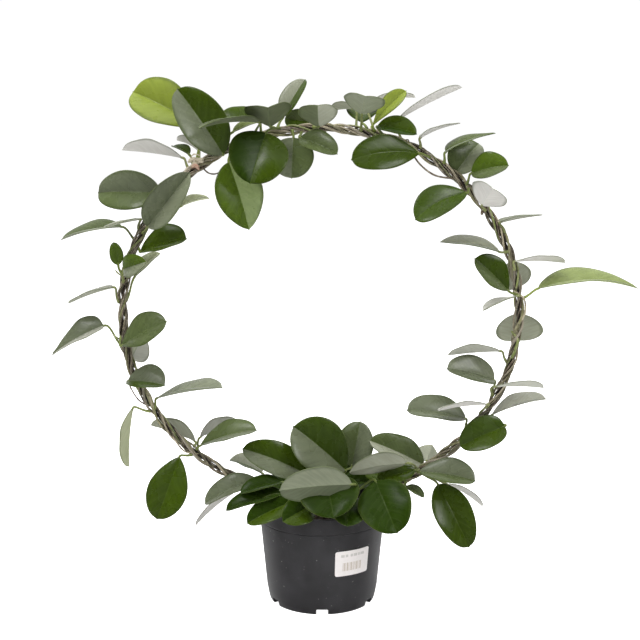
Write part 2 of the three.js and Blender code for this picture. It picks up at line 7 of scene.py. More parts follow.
import json
import math
import random
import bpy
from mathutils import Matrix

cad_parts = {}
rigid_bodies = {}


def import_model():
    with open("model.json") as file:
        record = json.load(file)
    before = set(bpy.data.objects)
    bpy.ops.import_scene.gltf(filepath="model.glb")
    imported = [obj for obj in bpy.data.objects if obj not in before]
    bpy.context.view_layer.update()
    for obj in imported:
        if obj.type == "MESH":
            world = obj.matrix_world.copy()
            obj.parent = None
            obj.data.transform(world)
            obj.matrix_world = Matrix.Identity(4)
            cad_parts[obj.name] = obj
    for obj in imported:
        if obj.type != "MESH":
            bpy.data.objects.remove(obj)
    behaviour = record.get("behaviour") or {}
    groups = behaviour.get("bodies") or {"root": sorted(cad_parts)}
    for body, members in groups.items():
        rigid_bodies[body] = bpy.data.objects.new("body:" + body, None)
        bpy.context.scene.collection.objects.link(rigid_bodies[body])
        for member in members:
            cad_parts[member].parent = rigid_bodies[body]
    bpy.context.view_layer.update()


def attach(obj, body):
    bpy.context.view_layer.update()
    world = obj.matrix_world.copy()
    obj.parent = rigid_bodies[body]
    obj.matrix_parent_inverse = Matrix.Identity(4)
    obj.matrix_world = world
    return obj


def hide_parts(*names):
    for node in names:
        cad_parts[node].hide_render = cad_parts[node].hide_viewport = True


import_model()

from types import SimpleNamespace as Values

import bmesh
import bpy
from mathutils import Vector, noise

METRES = 0.001  # in a millimetre
UP = Vector((0, 0, 1))
FORWARD = Vector((0, -1, 0))
WHOLE_TURN = 2 * math.pi
WHITE = (1, 1, 1, 1)

# ---------------------------------------------------------------- dimensions

POT = Values(
    height=95,
    foot_radius=51.3,  # of the straight wall, carried down to the ground
    draft=0.0955,  # the wall leans out by this much for each millimetre of height
    wall=1.3,
    rim_thick=1.8,
    rim_round=0.55,
    band_from=79.4,  # the rim band stands a little out of the wall
    band_proud=0.4,
    groove=0.35,  # depth of the line under the band
    toe_height=14,  # the wall rounds in to the foot
    toe_bend=5,
    toe_bend_inset=0.7,
    foot_inset=1.7,
    foot_inner=45,
    notch_height=5.5,
    notch_width=11,
    notch_depth=16,
    notch_round=1.2,
    notches=6,
    floor_thick=1.5,
    cove=1.1,
    hub_radius=14,
    hub_lift=0.4,  # the hub under the floor ends this far above the ground
    drain_holes=6,
    drain_radius=3.5,
    drain_ring=33,
    cut_from=-2,  # the tools that cut notches and drain holes start under the ground
    crease=35,  # degrees, the least angle of an edge that stays sharp
    sides=180,
)

# The sticker. start and end are in degrees to the right of the pot's front.
LABEL = Values(
    start=12, end=48, bottom=38.5, top=63, corner=2, gap=0.3, thick=0.4, columns=40, crease=40
)

INK = Values(
    proud=0.03,
    sunk=0.05,  # into the sticker
    dash_row=(57.0, 59.6),  # from and to, in height
    dashes=((17.5, 21), (22, 24.5), (27, 29.5), (30.2, 34), (35, 37), (37.8, 42)),  # degrees
    bars=(43.5, 51.5),
    bar_start=19.5,
    bar_widths=(0.5, 0.9, 0.4, 1.3, 0.5, 0.5, 1.1, 0.4, 0.8, 0.5, 1.2, 0.4, 0.6, 0.9),
    bar_gaps=(0.7, 0.5, 1.0, 0.6, 0.9, 0.5, 0.8, 0.7, 1.1, 0.5, 0.6, 0.9, 0.6, 0.0),
)

SOIL = Values(
    edge=84,  # height at the wall
    crown=88,  # and in the middle
    looseness=0.55,  # air between the mix and the pot
    relief=1.1,
    relief_grain=0.16,  # less makes wider hummocks
    relief_fractal=(0.8, 2.1, 4),  # H, lacunarity and octaves
    rings=26,
    sides=96,
    crumbs=420,
    crumb_size=(0.7, 2.6),
    crumb_stretch=((0.7, 1.5), (0.6, 1.1), (0.5, 0.9)),  # along x, y and z
    crumb_dents=0.35,
    crumb_grain=1.7,
    crumb_free=3,  # width beside the wall without crumbs
)

HOOP = Values(
    centre=(-1.4, 273),
    half_width=184,
    half_height=172,
    start=230,  # degrees, where the left leg bends off the ring
    end=-50,  # where the right leg does
    shoulder=(84, 112),  # (x, z) that each leg bends past on its way in
    over=(50, 108),
    entry=(40, 80),  # and where it runs straight on into the soil
    foot=24,
    wire=1.3,
    sides=14,
    ring_steps=900,
    bend_steps=200,
)

# The source lays three thick stems round the wire. Each stands for three of the real, thin ones.
STEM = Values(count=3, radius=1.3, reach=3.55, twist=66, foot=50, lengths=6)

# The stem of the source, degrees round the wire from it, reach, radius and bark of each thin stem
STRANDS = (
    (0, -46, 3.1, 0.85, "tan"),
    (0, -4, 3.8, 1.15, "olive"),
    (0, 44, 2.7, 0.7, "brown"),
    (1, -40, 3.7, 1.0, "tan"),
    (1, 6, 2.8, 0.75, "brown"),
    (1, 48, 3.5, 0.95, "green"),
    (2, -44, 3.3, 0.8, "brown"),
    (2, -2, 3.8, 1.1, "grey"),
    (2, 42, 3.0, 0.85, "olive"),
)

# How far a thin stem sways round the wire and away from it, how much its radius swells, and over
# what lengths each of these comes and goes. A joint is a small swelling where leaves have grown.
WANDER = Values(
    turn=68,  # degrees
    turn_length=60,
    reach=1.1,
    reach_length=45,
    swell=0.24,  # share of the radius
    swell_length=38,
    joint=0.22,
    joint_gap=52,
    joint_gap_more=5,  # for each further strand
    joint_sharpness=24,
    step=3,
    sides=10,
)

# The share of the darkest bark colour in a strand: in patches all along it, and more at the upper left
BARK_DARKENING = Values(
    usual=0.35,
    patches=1.1,
    patch_length=48,
    left=0.45,
    left_from=-110,  # x at which the left begins
    left_fade=50,
    left_above=215,  # z
    most=0.85,
)

# Growths beside the bundle: their ends are thinner, and they are more or less lumpy
GROWTH = Values(step=1.2, end=0.55, swell_in=0.2, lump_length=3.5, loose_lumps=0.25, callus_lumps=0.7)

# Strands that leave the bundle and join it again, and short growths that end beside it. Each is a
# radius, a bark tone and the (x, z, depth) of its points as seen from the front.
LOOSE = (
    (0.75, "brown", ((-181, 210, -2), (-179, 203, -4), (-172, 192, -4), (-162, 186, -1))),
    (0.8, "tan", ((-141, 158, -2), (-136, 149, -3), (-129, 142, -3), (-117, 140, -1))),
    (0.7, "brown", ((-112, 134, -2), (-106, 127, -4), (-97, 122, -4), (-84, 118, -2))),
    (0.8, "brown", ((80, 424, -3), (90, 411, -6), (103, 402, -6), (120, 399, -2))),
    (0.75, "tan", ((177, 296, -3), (187, 288, -5), (188, 274, -5), (181, 262, -2))),
    (0.7, "brown", ((-112, 413, -3), (-103, 404, -5), (-92, 406, -5), (-78, 424, -2))),
    (0.6, "brown", ((72, 427, 0), (74, 433, -2), (78, 434, -3), (79, 430, -3))),
    (0.7, "green", ((-182, 309, 0), (-187, 311, -3), (-191, 315, -4))),
    (0.8, "green", ((-184, 250, 0), (-190, 251, -3), (-195, 255, -4))),
    (1.6, "brown", ((151, 374, 0), (147, 370, -3), (146, 366, -4))),
    (1.3, "green", ((176, 258, 0), (182, 250, -4), (180, 240, -5), (177, 232, -2))),
)

# The callus where old stems were cut, in the same terms
CALLUS = (
    (2.2, "callus", ((-136, 396, -2), (-127, 403, -4), (-119, 410, -5), (-108, 417, -4))),
    (1.7, "callus", ((-122, 414, -4), (-116, 417, -6), (-108, 414, -6))),
    (1.5, "flesh", ((-119, 409, -7), (-115, 411, -8), (-112, 407, -8))),
    (0.7, "callus", ((-121, 416, -5), (-117, 421, -6), (-111, 420, -6))),
    (0.7, "brown", ((-130, 402, -5), (-122, 403, -8), (-112, 409, -7))),
)

SHOOT = Values(radius=1.5, swell=0.1, taper=0.012, steps=20, sides=12)

BLADE = Values(
    thick=1.15,
    end=1,  # width at the base
    least=0.12,  # half the width at the very tip
    fold=24,  # degrees that each half rises from the rib
    arch=0.05,  # rise of the rib's middle for each millimetre of length
    bend=0,  # and how far it bows sideways
    widest=0.45,  # share of the length
    blunt=0.65,  # less is rounder, at the base
    tip_blunt=0.42,  # and at the tip
    point=0.02,  # share of the length that is only its small pointed tip
    groove=0.18,  # depth along the rib
    groove_width=0.05,  # share of the half blade
    keel_width=0.07,  # and of the rib's keel on the underside
    bulge=0.1,
    quilting=0.12,  # depth of the hollows between the side veins
    quilted_from=12,  # half width at which the quilting is at its full depth
    veins=7,
    slant=0.32,  # share of the length that a side vein gains on its way to the margin
    wave=0.03,
    lean=0.012,  # the most that chance bows the blade sideways
    rows=38,
    # from the rib to the margin
    columns=(0, 0.035, 0.1, 0.26, 0.45, 0.63, 0.79, 0.9, 0.97, 1),
)

STALK = Values(
    radius=1.2,
    root=1.7,  # radius where it leaves the stem
    root_length=2.2,  # over which that swelling dies out
    waist=0.16,  # how much thinner the middle is
    away=0.45,  # how much it leaves the stem at right angles
    spring=7,
    arrive=0.3,
    inside=2.5,  # length that runs on inside the blade
    inside_radius=0.45,  # share of the stalk's
    rows=14,
    sides=10,
)

LEAF_SEED = 0.37  # sets the grain of one leaf apart from the next one's

# Where the photograph is taken from
EYE = Vector((-2, -1162, 467))
CAMERA = Values(lens=71.4, sensor=36, pitch=-9.7)

# The room's brightness as the picture shows it, and as it lights the plant from its two sides and
# from the floor
STUDIO = Values(seen=1.02, front=0.04, back=0.8, floor=0.15, floor_half=6.0, floor_steps=24)

# A lamp's place and aim, in metres, the size of its screen, its watts and if glossy leaves mirror it
LAMPS = {
    "above": ((0, -0.2, 2.0), (0, 0, 0.25), (2.2, 1.6), 50, False),
    "front_left": ((-1.3, -1.7, 1.6), (0, 0, 0.25), (0.9, 0.9), 20, False),
    "right_glow": ((1.1, -1.2, 1.3), (0, 0, 0.3), (0.7, 0.8), 9, True),
    "left_glow": ((-0.8, -0.8, 1.9), (0, 0, 0.3), (0.5, 0.5), 5, True),
}

# ---------------------------------------------------------------- leaves
# A leaf's node, base and tip are (x, z) as seen from the front, in the hoop's plane: where the
# stalk leaves its stem, where the blade starts and where it ends. depth is how far behind that
# plane (+) or in front of it (-) the blade's base and tip lie. face turns the upper side from
# the viewer (0) to the sky (90) and away (180). tone names the colour of the blade, or of its two
# halves; the grey, slate, ash, silver and pearl tones are partly painted sheen, the bright room
# mirrored in glossy skin seen at a slant. form holds what differs from BLADE.


def leaf(node, base, tip, depth, width, face, tone, **form):
    shape = {**vars(BLADE), **form}
    return Values(
        node=node, base=base, tip=tip, depth=depth, width=width, face=face, tone=tone, **shape
    )


VINE_LEAVES = [
    # upper left
    leaf((-117, 412), (-114, 448), (-171, 477), (8, 30), 49, 20, "young", blunt=0.42, widest=0.58),
    leaf((-92, 416), (-90, 421), (-131, 480), (-8, -6), 46, 8, "dark grey"),
    leaf((-122, 409), (-127, 418), (-182, 425), (1, -8), 34, 108, "pearl", arch=0.02, widest=0.6),
    leaf((-111, 414), (-112, 424), (-132, 434), (8, 34), 18, 108, "pearl"),
    leaf((-119, 409), (-121, 421), (-136, 428), (10, 24), 16, 62, "dark"),
    leaf((-157, 368), (-147, 386), (-205, 386), (14, 30), 41, 12, "grey moss", blunt=0.5, widest=0.48),
    leaf((-165, 350), (-160, 355), (-120, 405), (-12, -28), 39, 8, "slate grey", fold=40),
    leaf((-171, 341), (-184, 355), (-240, 343), (2, 10), 32, 74, "moss slate", fold=16),
    leaf((-165, 352), (-167, 362), (-201, 354), (-5, -20), 22, 88, "ash", fold=8, arch=0.02),
    leaf((-172, 337), (-167, 332), (-124, 344), (-6, -16), 37, 50, "dark",
         blunt=0.5, widest=0.58, tip_blunt=0.34),
    leaf((-183, 311), (-188, 320), (-192, 341), (-2, -5), 13, 10, "green", fold=10),
    leaf((-182, 304), (-183, 316), (-162, 323), (-8, -28), 23, 15, "slate green"),
    leaf((-184, 286), (-173, 309), (-149, 331), (6, 18), 20, 55, "sage"),
    leaf((-185, 284), (-193, 299), (-235, 284), (-1, 6), 32, 88, "ash", fold=10, arch=0.03),
    leaf((-129, 384), (-129, 374), (-103, 381), (7, 16), 20, 72, "sage"),
    # lower left
    leaf((-184, 245), (-203, 263), (-252, 235), (0, -6), 34, 54, "grey silver",
         widest=0.25, tip_blunt=1),
    leaf((-185, 254), (-187, 244), (-144, 267), (-9, -18), 37, 42, "moss", fold=14, widest=0.58),
    leaf((-178, 223), (-178, 232), (-166, 253), (9, 22), 34, 170, "ash silver", blunt=0.5),
    leaf((-175, 214), (-182, 210), (-147, 206), (-9, -20), 37, 48, "dark grey",
         blunt=0.36, widest=0.55),
    leaf((-158, 184), (-155, 194), (-93, 204), (-1, -10), 43, 77, "slate",
         fold=16, arch=0.03, widest=0.58),
    leaf((-158, 184), (-178, 184), (-183, 127), (0, 6), 30, 104, "sage", arch=0.03),
    leaf((-120, 147), (-120, 152), (-162, 168), (8, 18), 30, 118, "ash"),
    leaf((-118, 146), (-115, 148), (-61, 163), (-7, -16), 32, 52, "grey moss", widest=0.55),
    leaf((-116, 143), (-115, 156), (-78, 170), (9, 24), 26, 120, "silver"),
    leaf((-119, 145), (-135, 137), (-158, 75), (-6, -22), 39, 2, "dark",
         fold=16, widest=0.56, blunt=0.62, tip_blunt=0.5),
    # top
    leaf((-60, 435), (-58, 450), (-112, 444), (-16, -54), 30, 92, "grey moss", fold=14),
    leaf((-54, 437), (-58, 452), (-94, 454), (-4, -2), 26, 62, "dark"),
    leaf((-42, 441), (-47, 446), (-49, 463), (-8, -38), 46, 178, "moss", fold=22),
    leaf((-40, 442), (-35, 455), (-15, 488), (6, 16), 24, 38, "dark ash"),
    leaf((-38, 441), (-51, 440), (-66, 394), (-15, -38), 54, 4, "deep dark", fold=8, blunt=0.5),
    leaf((-85, 427), (-85, 414), (-67, 352), (-8, -12), 45, 4, "green mint", fold=16, tip_blunt=0.65),
    leaf((-88, 424), (-81, 441), (-54, 451), (6, 14), 13, 58, "celery"),
    leaf((-27, 443), (-26, 436), (-28, 399), (-7, -9), 40, 8, "grey moss", fold=8, blunt=0.5),
    leaf((-19, 443), (-20, 436), (14, 421), (-12, -32), 27, 36, "moss"),
    leaf((-8, 445), (-3, 446), (-4, 465), (-8, -38), 36, 178, "moss ash", fold=12),
    leaf((-14, 445), (-9, 449), (-34, 453), (9, 14), 22, 10, "moss dark"),
    leaf((31, 442), (28, 462), (8, 460), (8, 14), 24, 102, "ash"),
    leaf((35, 441), (36, 457), (39, 473), (-8, -48), 38, 178, "slate", fold=12),
    leaf((40, 440), (36, 450), (37, 466), (9, 46), 31, 4, "dark", fold=12),
    leaf((45, 439), (43, 468), (84, 472), (12, 22), 24, 100, "pearl", fold=12),
    leaf((46, 439), (45, 446), (76, 478), (-5, -10), 19, 30, "young", widest=0.66),
    leaf((54, 437), (50, 446), (86, 439), (-7, -15), 26, 46, "deep dark"),
    # upper right
    leaf((97, 417), (88, 422), (26, 416), (-14, -33), 33, 18, "dark", fold=8, bend=0.05, widest=0.56),
    leaf((72, 431), (68, 452), (126, 481), (4, 10), 36, 97, "pearl", fold=14, arch=0.02, widest=0.55),
    leaf((87, 423), (89, 436), (125, 449), (-3, 2), 26, 92, "pearl",
         fold=12, widest=0.22, tip_blunt=1.1),
    leaf((109, 410), (112, 423), (157, 440), (-3, -8), 28, 74, "moss",
         fold=14, widest=0.24, tip_blunt=1),
    leaf((126, 396), (121, 404), (142, 431), (5, 14), 36, 18, "slate moss", fold=26, blunt=0.5),
    leaf((130, 392), (136, 404), (170, 411), (-6, -20), 31, 36, "moss green"),
    leaf((149, 371), (146, 375), (156, 390), (-8, -44), 36, 178, "pearl", fold=10),
    leaf((133, 390), (132, 386), (85, 361), (-13, -28), 33, 26, "shade",
         fold=16, blunt=0.5, bend=0.08, widest=0.58),
    leaf((164, 348), (163, 359), (202, 366), (-4, 3), 26, 86, "ash slate",
         fold=12, arch=0.02, widest=0.26, tip_blunt=0.9),
    # lower right
    leaf((170, 332), (163, 332), (108, 341), (-7, -12), 34, 72, "ash grey",
         fold=16, arch=0.04, tip_blunt=0.7),
    leaf((176, 316), (177, 323), (224, 322), (-4, 4), 28, 97, "pearl", fold=14, arch=0.03, widest=0.58),
    leaf((180, 292), (172, 296), (140, 326), (-8, -14), 32, 32, "dark moss", widest=0.55),
    leaf((181, 297), (181, 299), (171, 322), (9, 20), 34, 168, "ash", blunt=0.5),
    leaf((183, 288), (200, 298), (292, 298), (-2, 8), 42, 70, "celery",
         fold=18, arch=0.08, tip_blunt=0.75),
    leaf((182, 292), (182, 291), (149, 277), (-11, -16), 14, 60, "pearl ash", widest=0.72),
    leaf((180, 243), (182, 249), (181, 275), (9, 20), 49, 172, "ash", blunt=0.45),
    leaf((176, 227), (166, 239), (117, 235), (-4, -8), 36, 98, "silver",
         fold=16, arch=0.02, widest=0.58, tip_blunt=0.34),
    leaf((163, 194), (161, 211), (116, 222), (-5, -14), 35, 44, "slate grey",
         widest=0.44, tip_blunt=0.34, blunt=0.42),
    leaf((164, 195), (162, 205), (208, 204), (-17, -17), 28, 99, "silver",
         fold=12, arch=0.03, widest=0.62, tip_blunt=0.34),
    leaf((153, 178), (160, 178), (211, 193), (2, 8), 31, 66, "silver", widest=0.55, tip_blunt=0.34),
    leaf((152, 176), (155, 188), (109, 182), (-18, -36), 26, 95, "pearl",
         fold=12, arch=0.03, widest=0.6, tip_blunt=0.34),
    leaf((138, 160), (135, 174), (79, 182), (-3, -8), 36, 46, "grey",
         widest=0.5, tip_blunt=0.34, blunt=0.5),
    leaf((146, 170), (172, 167), (130, 147), (-14, -20), 35, 16, "shade dark", blunt=0.4),
    # over the pot's left side
    leaf((-58, 103), (-60, 113), (-112, 90), (-14, -16), 28, 44, "grey", arch=0.1),
    leaf((-64, 106), (-68, 111), (-121, 69), (8, 8), 18, 100, "pearl"),
    leaf((-47, 101), (-15, 120), (-76, 145), (-8, -14), 36, 20, "dark grey", fold=20),
    leaf((-52, 99), (-57, 121), (-88, 134), (12, 22), 33, 60, "ash dark"),
    # over the pot's right side
    leaf((96, 125), (96, 129), (44, 153), (8, 6), 34, 30, "moss ash", fold=26),
    leaf((92, 121), (76, 140), (46, 152), (14, 20), 22, 40, "dark"),
    leaf((100, 128), (99, 133), (104, 149), (9, 34), 31, 170, "ash"),
    leaf((93, 122), (80, 131), (26, 122), (-24, -44), 30, 128, "ash", fold=12),
    leaf((76, 110), (78, 126), (40, 120), (-4, -4), 30, 20, "dark"),
    leaf((86, 116), (88, 124), (52, 114), (-16, -20), 26, 30, "dark"),
    leaf((90, 119), (92, 122), (146, 113), (-12, -26), 34, 40, "moss grey", blunt=0.5, widest=0.58),
    leaf((94, 122), (110, 110), (141, 47), (-6, -26), 39, 4, "dark"),
    leaf((96, 124), (119, 110), (153, 88), (8, 14), 18, 100, "pearl"),
    leaf((80, 112), (80, 108), (97, 97), (-9, -16), 13, 45, "moss"),
]

# Leafy shoots that rise from the soil in the middle of the pot.
# foot and head are the (x, y, z) of the shoot's two ends; here a leaf's node is a height.
SHOOTS = {
    "shoot_left": Values(
        foot=(-16, -20, 62),
        head=(-22, -28, 106),
        leaves=(
            leaf(98, (-37, 101), (-92, 84), (-34, -38), 28, 52, "deep"),
            leaf(94, (-28, 93), (-72, 71), (-38, -52), 28, 24, "deep dark", blunt=0.5),
            leaf(104, (-38, 112), (-78, 101), (-27, -35), 24, 52, "deep"),
            leaf(91, (-11, 89), (-38, 73), (-42, -66), 31, 8, "deep dark"),
        ),
    ),
    "shoot_front": Values(
        foot=(22, -18, 62),
        head=(27, -26, 116),
        leaves=(
            leaf(113, (28, 110), (-41, 104), (-54, -72), 37, 150, "grey slate", fold=8, arch=0.02),
            leaf(108, (3, 116), (11, 76), (-34, -72), 56, 4, "deep", fold=8, blunt=0.5),
            leaf(98, (24, 97), (24, 68), (-26, -66), 40, 6, "deep", fold=8, blunt=0.5, arch=0.08),
            leaf(104, (51, 113), (72, 61), (-34, -72), 50, 2, "deep", fold=8),
        ),
    ),
    "shoot_centre": Values(
        foot=(10, 8, 62),
        head=(20, 4, 126),
        leaves=(
            leaf(118, (22, 124), (-28, 167), (0, -8), 54, 12, "shade grey",
                 fold=20, blunt=0.45, widest=0.6),
            leaf(122, (28, 128), (36, 172), (14, 22), 40, 8, "grey moss", blunt=0.5),
            leaf(110, (6, 119), (-12, 140), (22, 50), 36, 6, "moss"),
        ),
    ),
    # the shoot at the back has deep green leaves that partly serve as painted shade: they fill the
    # middle of the plant, where the white room would show between the leaves
    "shoot_back": Values(
        foot=(4, 26, 62),
        head=(2, 34, 114),
        leaves=(
            leaf(106, (-6, 117), (-34, 124), (40, 80), 38, 30, "dark"),
            leaf(108, (12, 112), (34, 128), (40, 48), 38, 14, "deep"),
            leaf(104, (-14, 108), (-58, 106), (32, 38), 30, 40, "deep"),
            leaf(111, (20, 112), (62, 110), (32, 38), 30, 40, "deep"),
        ),
    ),
}

# Upper side, underside and stalk of a leaf. The grey, slate, ash, silver and pearl tones are partly the
# leaves' own paler colour and partly painted sheen, the bright room mirrored in glossy skin seen at a
# slant.
TONES = {
    "deep": ("#273a08", "#6f7a60", "#5f6b36"),
    "dark": ("#384a07", "#7f8b72", "#6c783c"),
    "green": ("#4d6218", "#8b9670", "#77853f"),
    "moss": ("#55613a", "#626b4c", "#6f7a42"),
    "grey": ("#666d55", "#6a7259", "#6f7a42"),
    "slate": ("#7b8169", "#858b74", "#747c48"),
    "ash": ("#8f927f", "#9c9f8c", "#7a8150"),
    "silver": ("#a6a799", "#b5b6ab", "#7f8655"),
    "pearl": ("#c4c4ba", "#d4d2cd", "#878c5c"),
    "mint": ("#7f8f5c", "#94a57c", "#7f8a48"),
    "sage": ("#aab08c", "#b3b897", "#858f52"),
    "shade": ("#3a4c14", "#46552b", "#6c783c"),
    "celery": ("#808c54", "#9aa66a", "#8a9848"),
    "young": ("#829038", "#9aa655", "#8c9a48"),
}

BARK = {
    "tan": "#b3a88f",
    "olive": "#8b8a60",
    "brown": "#5a4a3c",
    # the darkest bark colour, which strands take on in patches and more at the upper left
    "old": "#2e251d",
    "green": "#7c8a48",
    "grey": "#8f8778",
    "callus": "#c9bfa9",
    "flesh": "#b98f7c",
}

# ---------------------------------------------------------------- materials


def colour(text, shade=1.0):
    """A colour of the screen, such as #3a3a3b, as its linear red, green, blue and alpha."""
    levels = [int(text[i : i + 2], 16) / 255 for i in (1, 3, 5)]
    linear = [x / 12.92 if x < 0.04045 else ((x + 0.055) / 1.055) ** 2.4 for x in levels]
    return (*(x * shade for x in linear), 1.0)


class Recipe:
    """One Principled material and the few kinds of node that this scene feeds it from."""

    def __init__(self, name, **settings):
        self.material = bpy.data.materials.new(name)
        self.material.use_nodes = True
        self.nodes = self.material.node_tree.nodes
        self.shader = self.nodes["Principled BSDF"]
        for socket, value in settings.items():
            self.shader.inputs[socket.replace("_", " ")].default_value = value

    def node(self, kind, settings=(), inputs=()):
        made = self.nodes.new(kind)
        for key, value in dict(settings).items():
            setattr(made, key, value)
        for key, value in dict(inputs).items():
            if isinstance(value, bpy.types.NodeSocket):
                self.material.node_tree.links.new(value, made.inputs[key])
            else:
                made.inputs[key].default_value = value
        return made

    def feed(self, socket, source):
        self.material.node_tree.links.new(source, self.shader.inputs[socket])

    def attribute(self, name):
        return self.node("ShaderNodeAttribute", {"attribute_name": name}).outputs

    def objects(self):
        return self.node("ShaderNodeTexCoord").outputs["Object"]

    def noise(self, scale, detail=3.0, roughness=0.5, vector=None):
        inputs = {"Scale": scale, "Detail": detail, "Roughness": roughness}
        inputs["Vector"] = vector or self.objects()
        return self.node("ShaderNodeTexNoise", inputs=inputs).outputs["Fac"]

    def math(self, operation, *values):
        return self.node(
            "ShaderNodeMath", {"operation": operation}, dict(enumerate(values))
        ).outputs["Value"]

    def span(self, value, low, high, to_low=0.0, to_high=1.0):
        inputs = {"Value": value, "From Min": low, "From Max": high}
        inputs |= {"To Min": to_low, "To Max": to_high}
        settings = {"interpolation_type": "SMOOTHSTEP"}
        return self.node("ShaderNodeMapRange", settings, inputs).outputs["Result"]

    def mix(self, share, low, high, blend="MIX"):
        """A mix of two colours, each of them a socket or a text such as #3a3a3b."""
        low, high = (colour(tint) if isinstance(tint, str) else tint for tint in (low, high))
        settings = {"data_type": "RGBA", "blend_type": blend}
        inputs = {0: share, 6: low, 7: high}  # the sockets of a mix of colours
        return self.node("ShaderNodeMix", settings, inputs).outputs[2]

    def bump(self, height, strength, distance):
        inputs = {"Height": height, "Strength": strength, "Distance": distance}
        self.feed("Normal", self.node("ShaderNodeBump", inputs=inputs).outputs["Normal"])


def plastic():
    """Moulded black plastic, greyed by handling, with fine grain and specks of dust."""
    made = Recipe("pot_plastic", Specular_IOR_Level=0.62)
    film = made.span(made.noise(28, 5, 0.6), 0.35, 0.75)
    body = made.mix(film, "#353436", "#403f42")
    dust = made.span(made.noise(460, 2, 0.4), 0.71, 0.76)
    streaks = made.span(made.noise(70, 3, 0.5), 0.45, 0.6)
    made.feed("Base Color", made.mix(made.math("MULTIPLY", dust, streaks), body, "#8f8e8b"))
    made.feed("Roughness", made.span(film, 0, 1, 0.4, 0.52))
    made.bump(made.noise(1500, 2, 0.6), 0.12, 0.0004)
    return made.material


def paper():
    made = Recipe("label_paper", Roughness=0.55)
    grain = made.noise(380, 4, 0.7)
    made.feed("Base Color", made.mix(grain, "#e3dddb", "#f4efed"))
    made.bump(grain, 0.1, 0.0003)
    return made.material


def ink(name, dark, light):
    made = Recipe(name, Roughness=0.5)
    made.feed("Base Color", made.mix(made.noise(900, 3, 0.7), dark, light))
    return made.material


def peat():
    made = Recipe("potting_mix", Specular_IOR_Level=0.2)
    clod = made.noise(240, 6, 0.65)
    dark = made.mix(clod, "#0f0c09", "#33291f")
    fibre = made.span(made.noise(420, 2, 0.5), 0.66, 0.74)
    made.feed("Base Color", made.mix(fibre, dark, "#5d4a36"))
    made.feed("Roughness", made.span(clod, 0.3, 0.7, 0.75, 0.97))
    made.bump(clod, 0.9, 0.0012)
    return made.material


def painted_wire():
    made = Recipe("hoop_wire_paint", Specular_IOR_Level=0.4)
    wear = made.noise(160, 4, 0.6)
    made.feed("Base Color", made.mix(wear, "#1f1a16", "#3a312a"))
    made.feed("Roughness", made.span(wear, 0.3, 0.7, 0.4, 0.6))
    return made.material


def bark():
    """Thin woody stems: a colour each, with pale length-wise fibres and darker scars."""
    made = Recipe("stem_bark", Specular_IOR_Level=0.45)
    tone = made.attribute("tone")["Color"]
    place = made.attribute("place")["Vector"]
    stretch = made.node("ShaderNodeVectorMath", {"operation": "MULTIPLY"}, {0: place})
    stretch.inputs[1].default_value = (0.06, 1.6, 1)
    fibres = made.noise(3.2, 4, 0.6, stretch.outputs["Vector"])
    pale = made.mix(made.span(fibres, 0.48, 0.68), tone, "#bdb49c")
    scars = made.span(made.noise(95, 4, 0.65), 0.56, 0.68)
    made.feed("Base Color", made.mix(made.math("MULTIPLY", scars, 0.75), pale, "#3b3026"))
    made.feed("Roughness", made.span(fibres, 0.3, 0.7, 0.42, 0.62))
    made.bump(fibres, 0.35, 0.0005)
    return made.material


def lamina(name, shine, roughness, grain=0.0):
    """A leaf's skin. place holds how far along (x), how far across (y) and the leaf's number (z)."""
    made = Recipe(name, Specular_IOR_Level=shine)
    tone = made.attribute("tone")["Color"]
    place = made.node("ShaderNodeSeparateXYZ", inputs={0: made.attribute("place")["Vector"]}).outputs
    along, across = place["X"], made.math("ABSOLUTE", place["Y"])
    # side veins leave the rib at a slant and fade towards the margin
    course = made.math("MULTIPLY_ADD", across, -BLADE.slant, along)
    spread = {0: made.math("MULTIPLY", course, 13.0), 1: across, 2: place["Z"]}
    # painted sheen: lighter and darker streaks along the side veins stand for the glossy skin's
    # highlights, broken by its veins
    painted_sheen_noise = made.noise(1.6, 4, 0.55, made.node("ShaderNodeCombineXYZ", inputs=spread).outputs[0])
    streaks = made.mix(made.span(painted_sheen_noise, 0.3, 0.7), "#3c3c3c", "#dcdcdc")
    cloudy = made.mix(made.noise(38, 4, 0.6), "#404040", "#e0e0e0")
    mottled = made.mix(0.3, tone, cloudy, "SOFT_LIGHT")
    body = made.mix(0.18, mottled, streaks, "SOFT_LIGHT")
    cycle = made.math("COSINE", made.math("MULTIPLY", course, WHOLE_TURN * BLADE.veins))
    vein = made.math("MULTIPLY", made.span(cycle, 0.8, 1.0), made.span(across, 0.15, 0.95, 1, 0))
    veined = made.mix(made.math("MULTIPLY", vein, 0.02), body, "#b6c489")
    rib = made.math("MULTIPLY", made.span(across, 0.008, 0.035, 1, 0), 0.05)
    ribbed = made.mix(rib, veined, "#93a860")
    shadow = made.math("MULTIPLY", made.span(across, 0.8, 0.97), 0.5)
    rimmed = made.mix(shadow, ribbed, "#39471a")
    margin = made.math("MULTIPLY", made.span(across, 0.975, 0.995), 0.35)
    made.feed("Base Color", made.mix(margin, rimmed, "#8f9c5e"))
    made.feed("Roughness", made.span(made.noise(75, 3, 0.5), 0.3, 0.7, *roughness))
    if grain:
        made.bump(made.noise(150, 3, 0.6), grain, 0.0005)
    return made.material


def stalk_skin():
    made = Recipe("leaf_stalk", Specular_IOR_Level=0.45)
    tone = made.attribute("tone")["Color"]
    streak = made.noise(180, 3, 0.5)
    shaded = made.mix(0.35, tone, made.mix(streak, "#202020", "#ffffff"), "SOFT_LIGHT")
    made.feed("Base Color", shaded)
    made.feed("Roughness", made.span(streak, 0.3, 0.7, 0.4, 0.55))
    return made.material


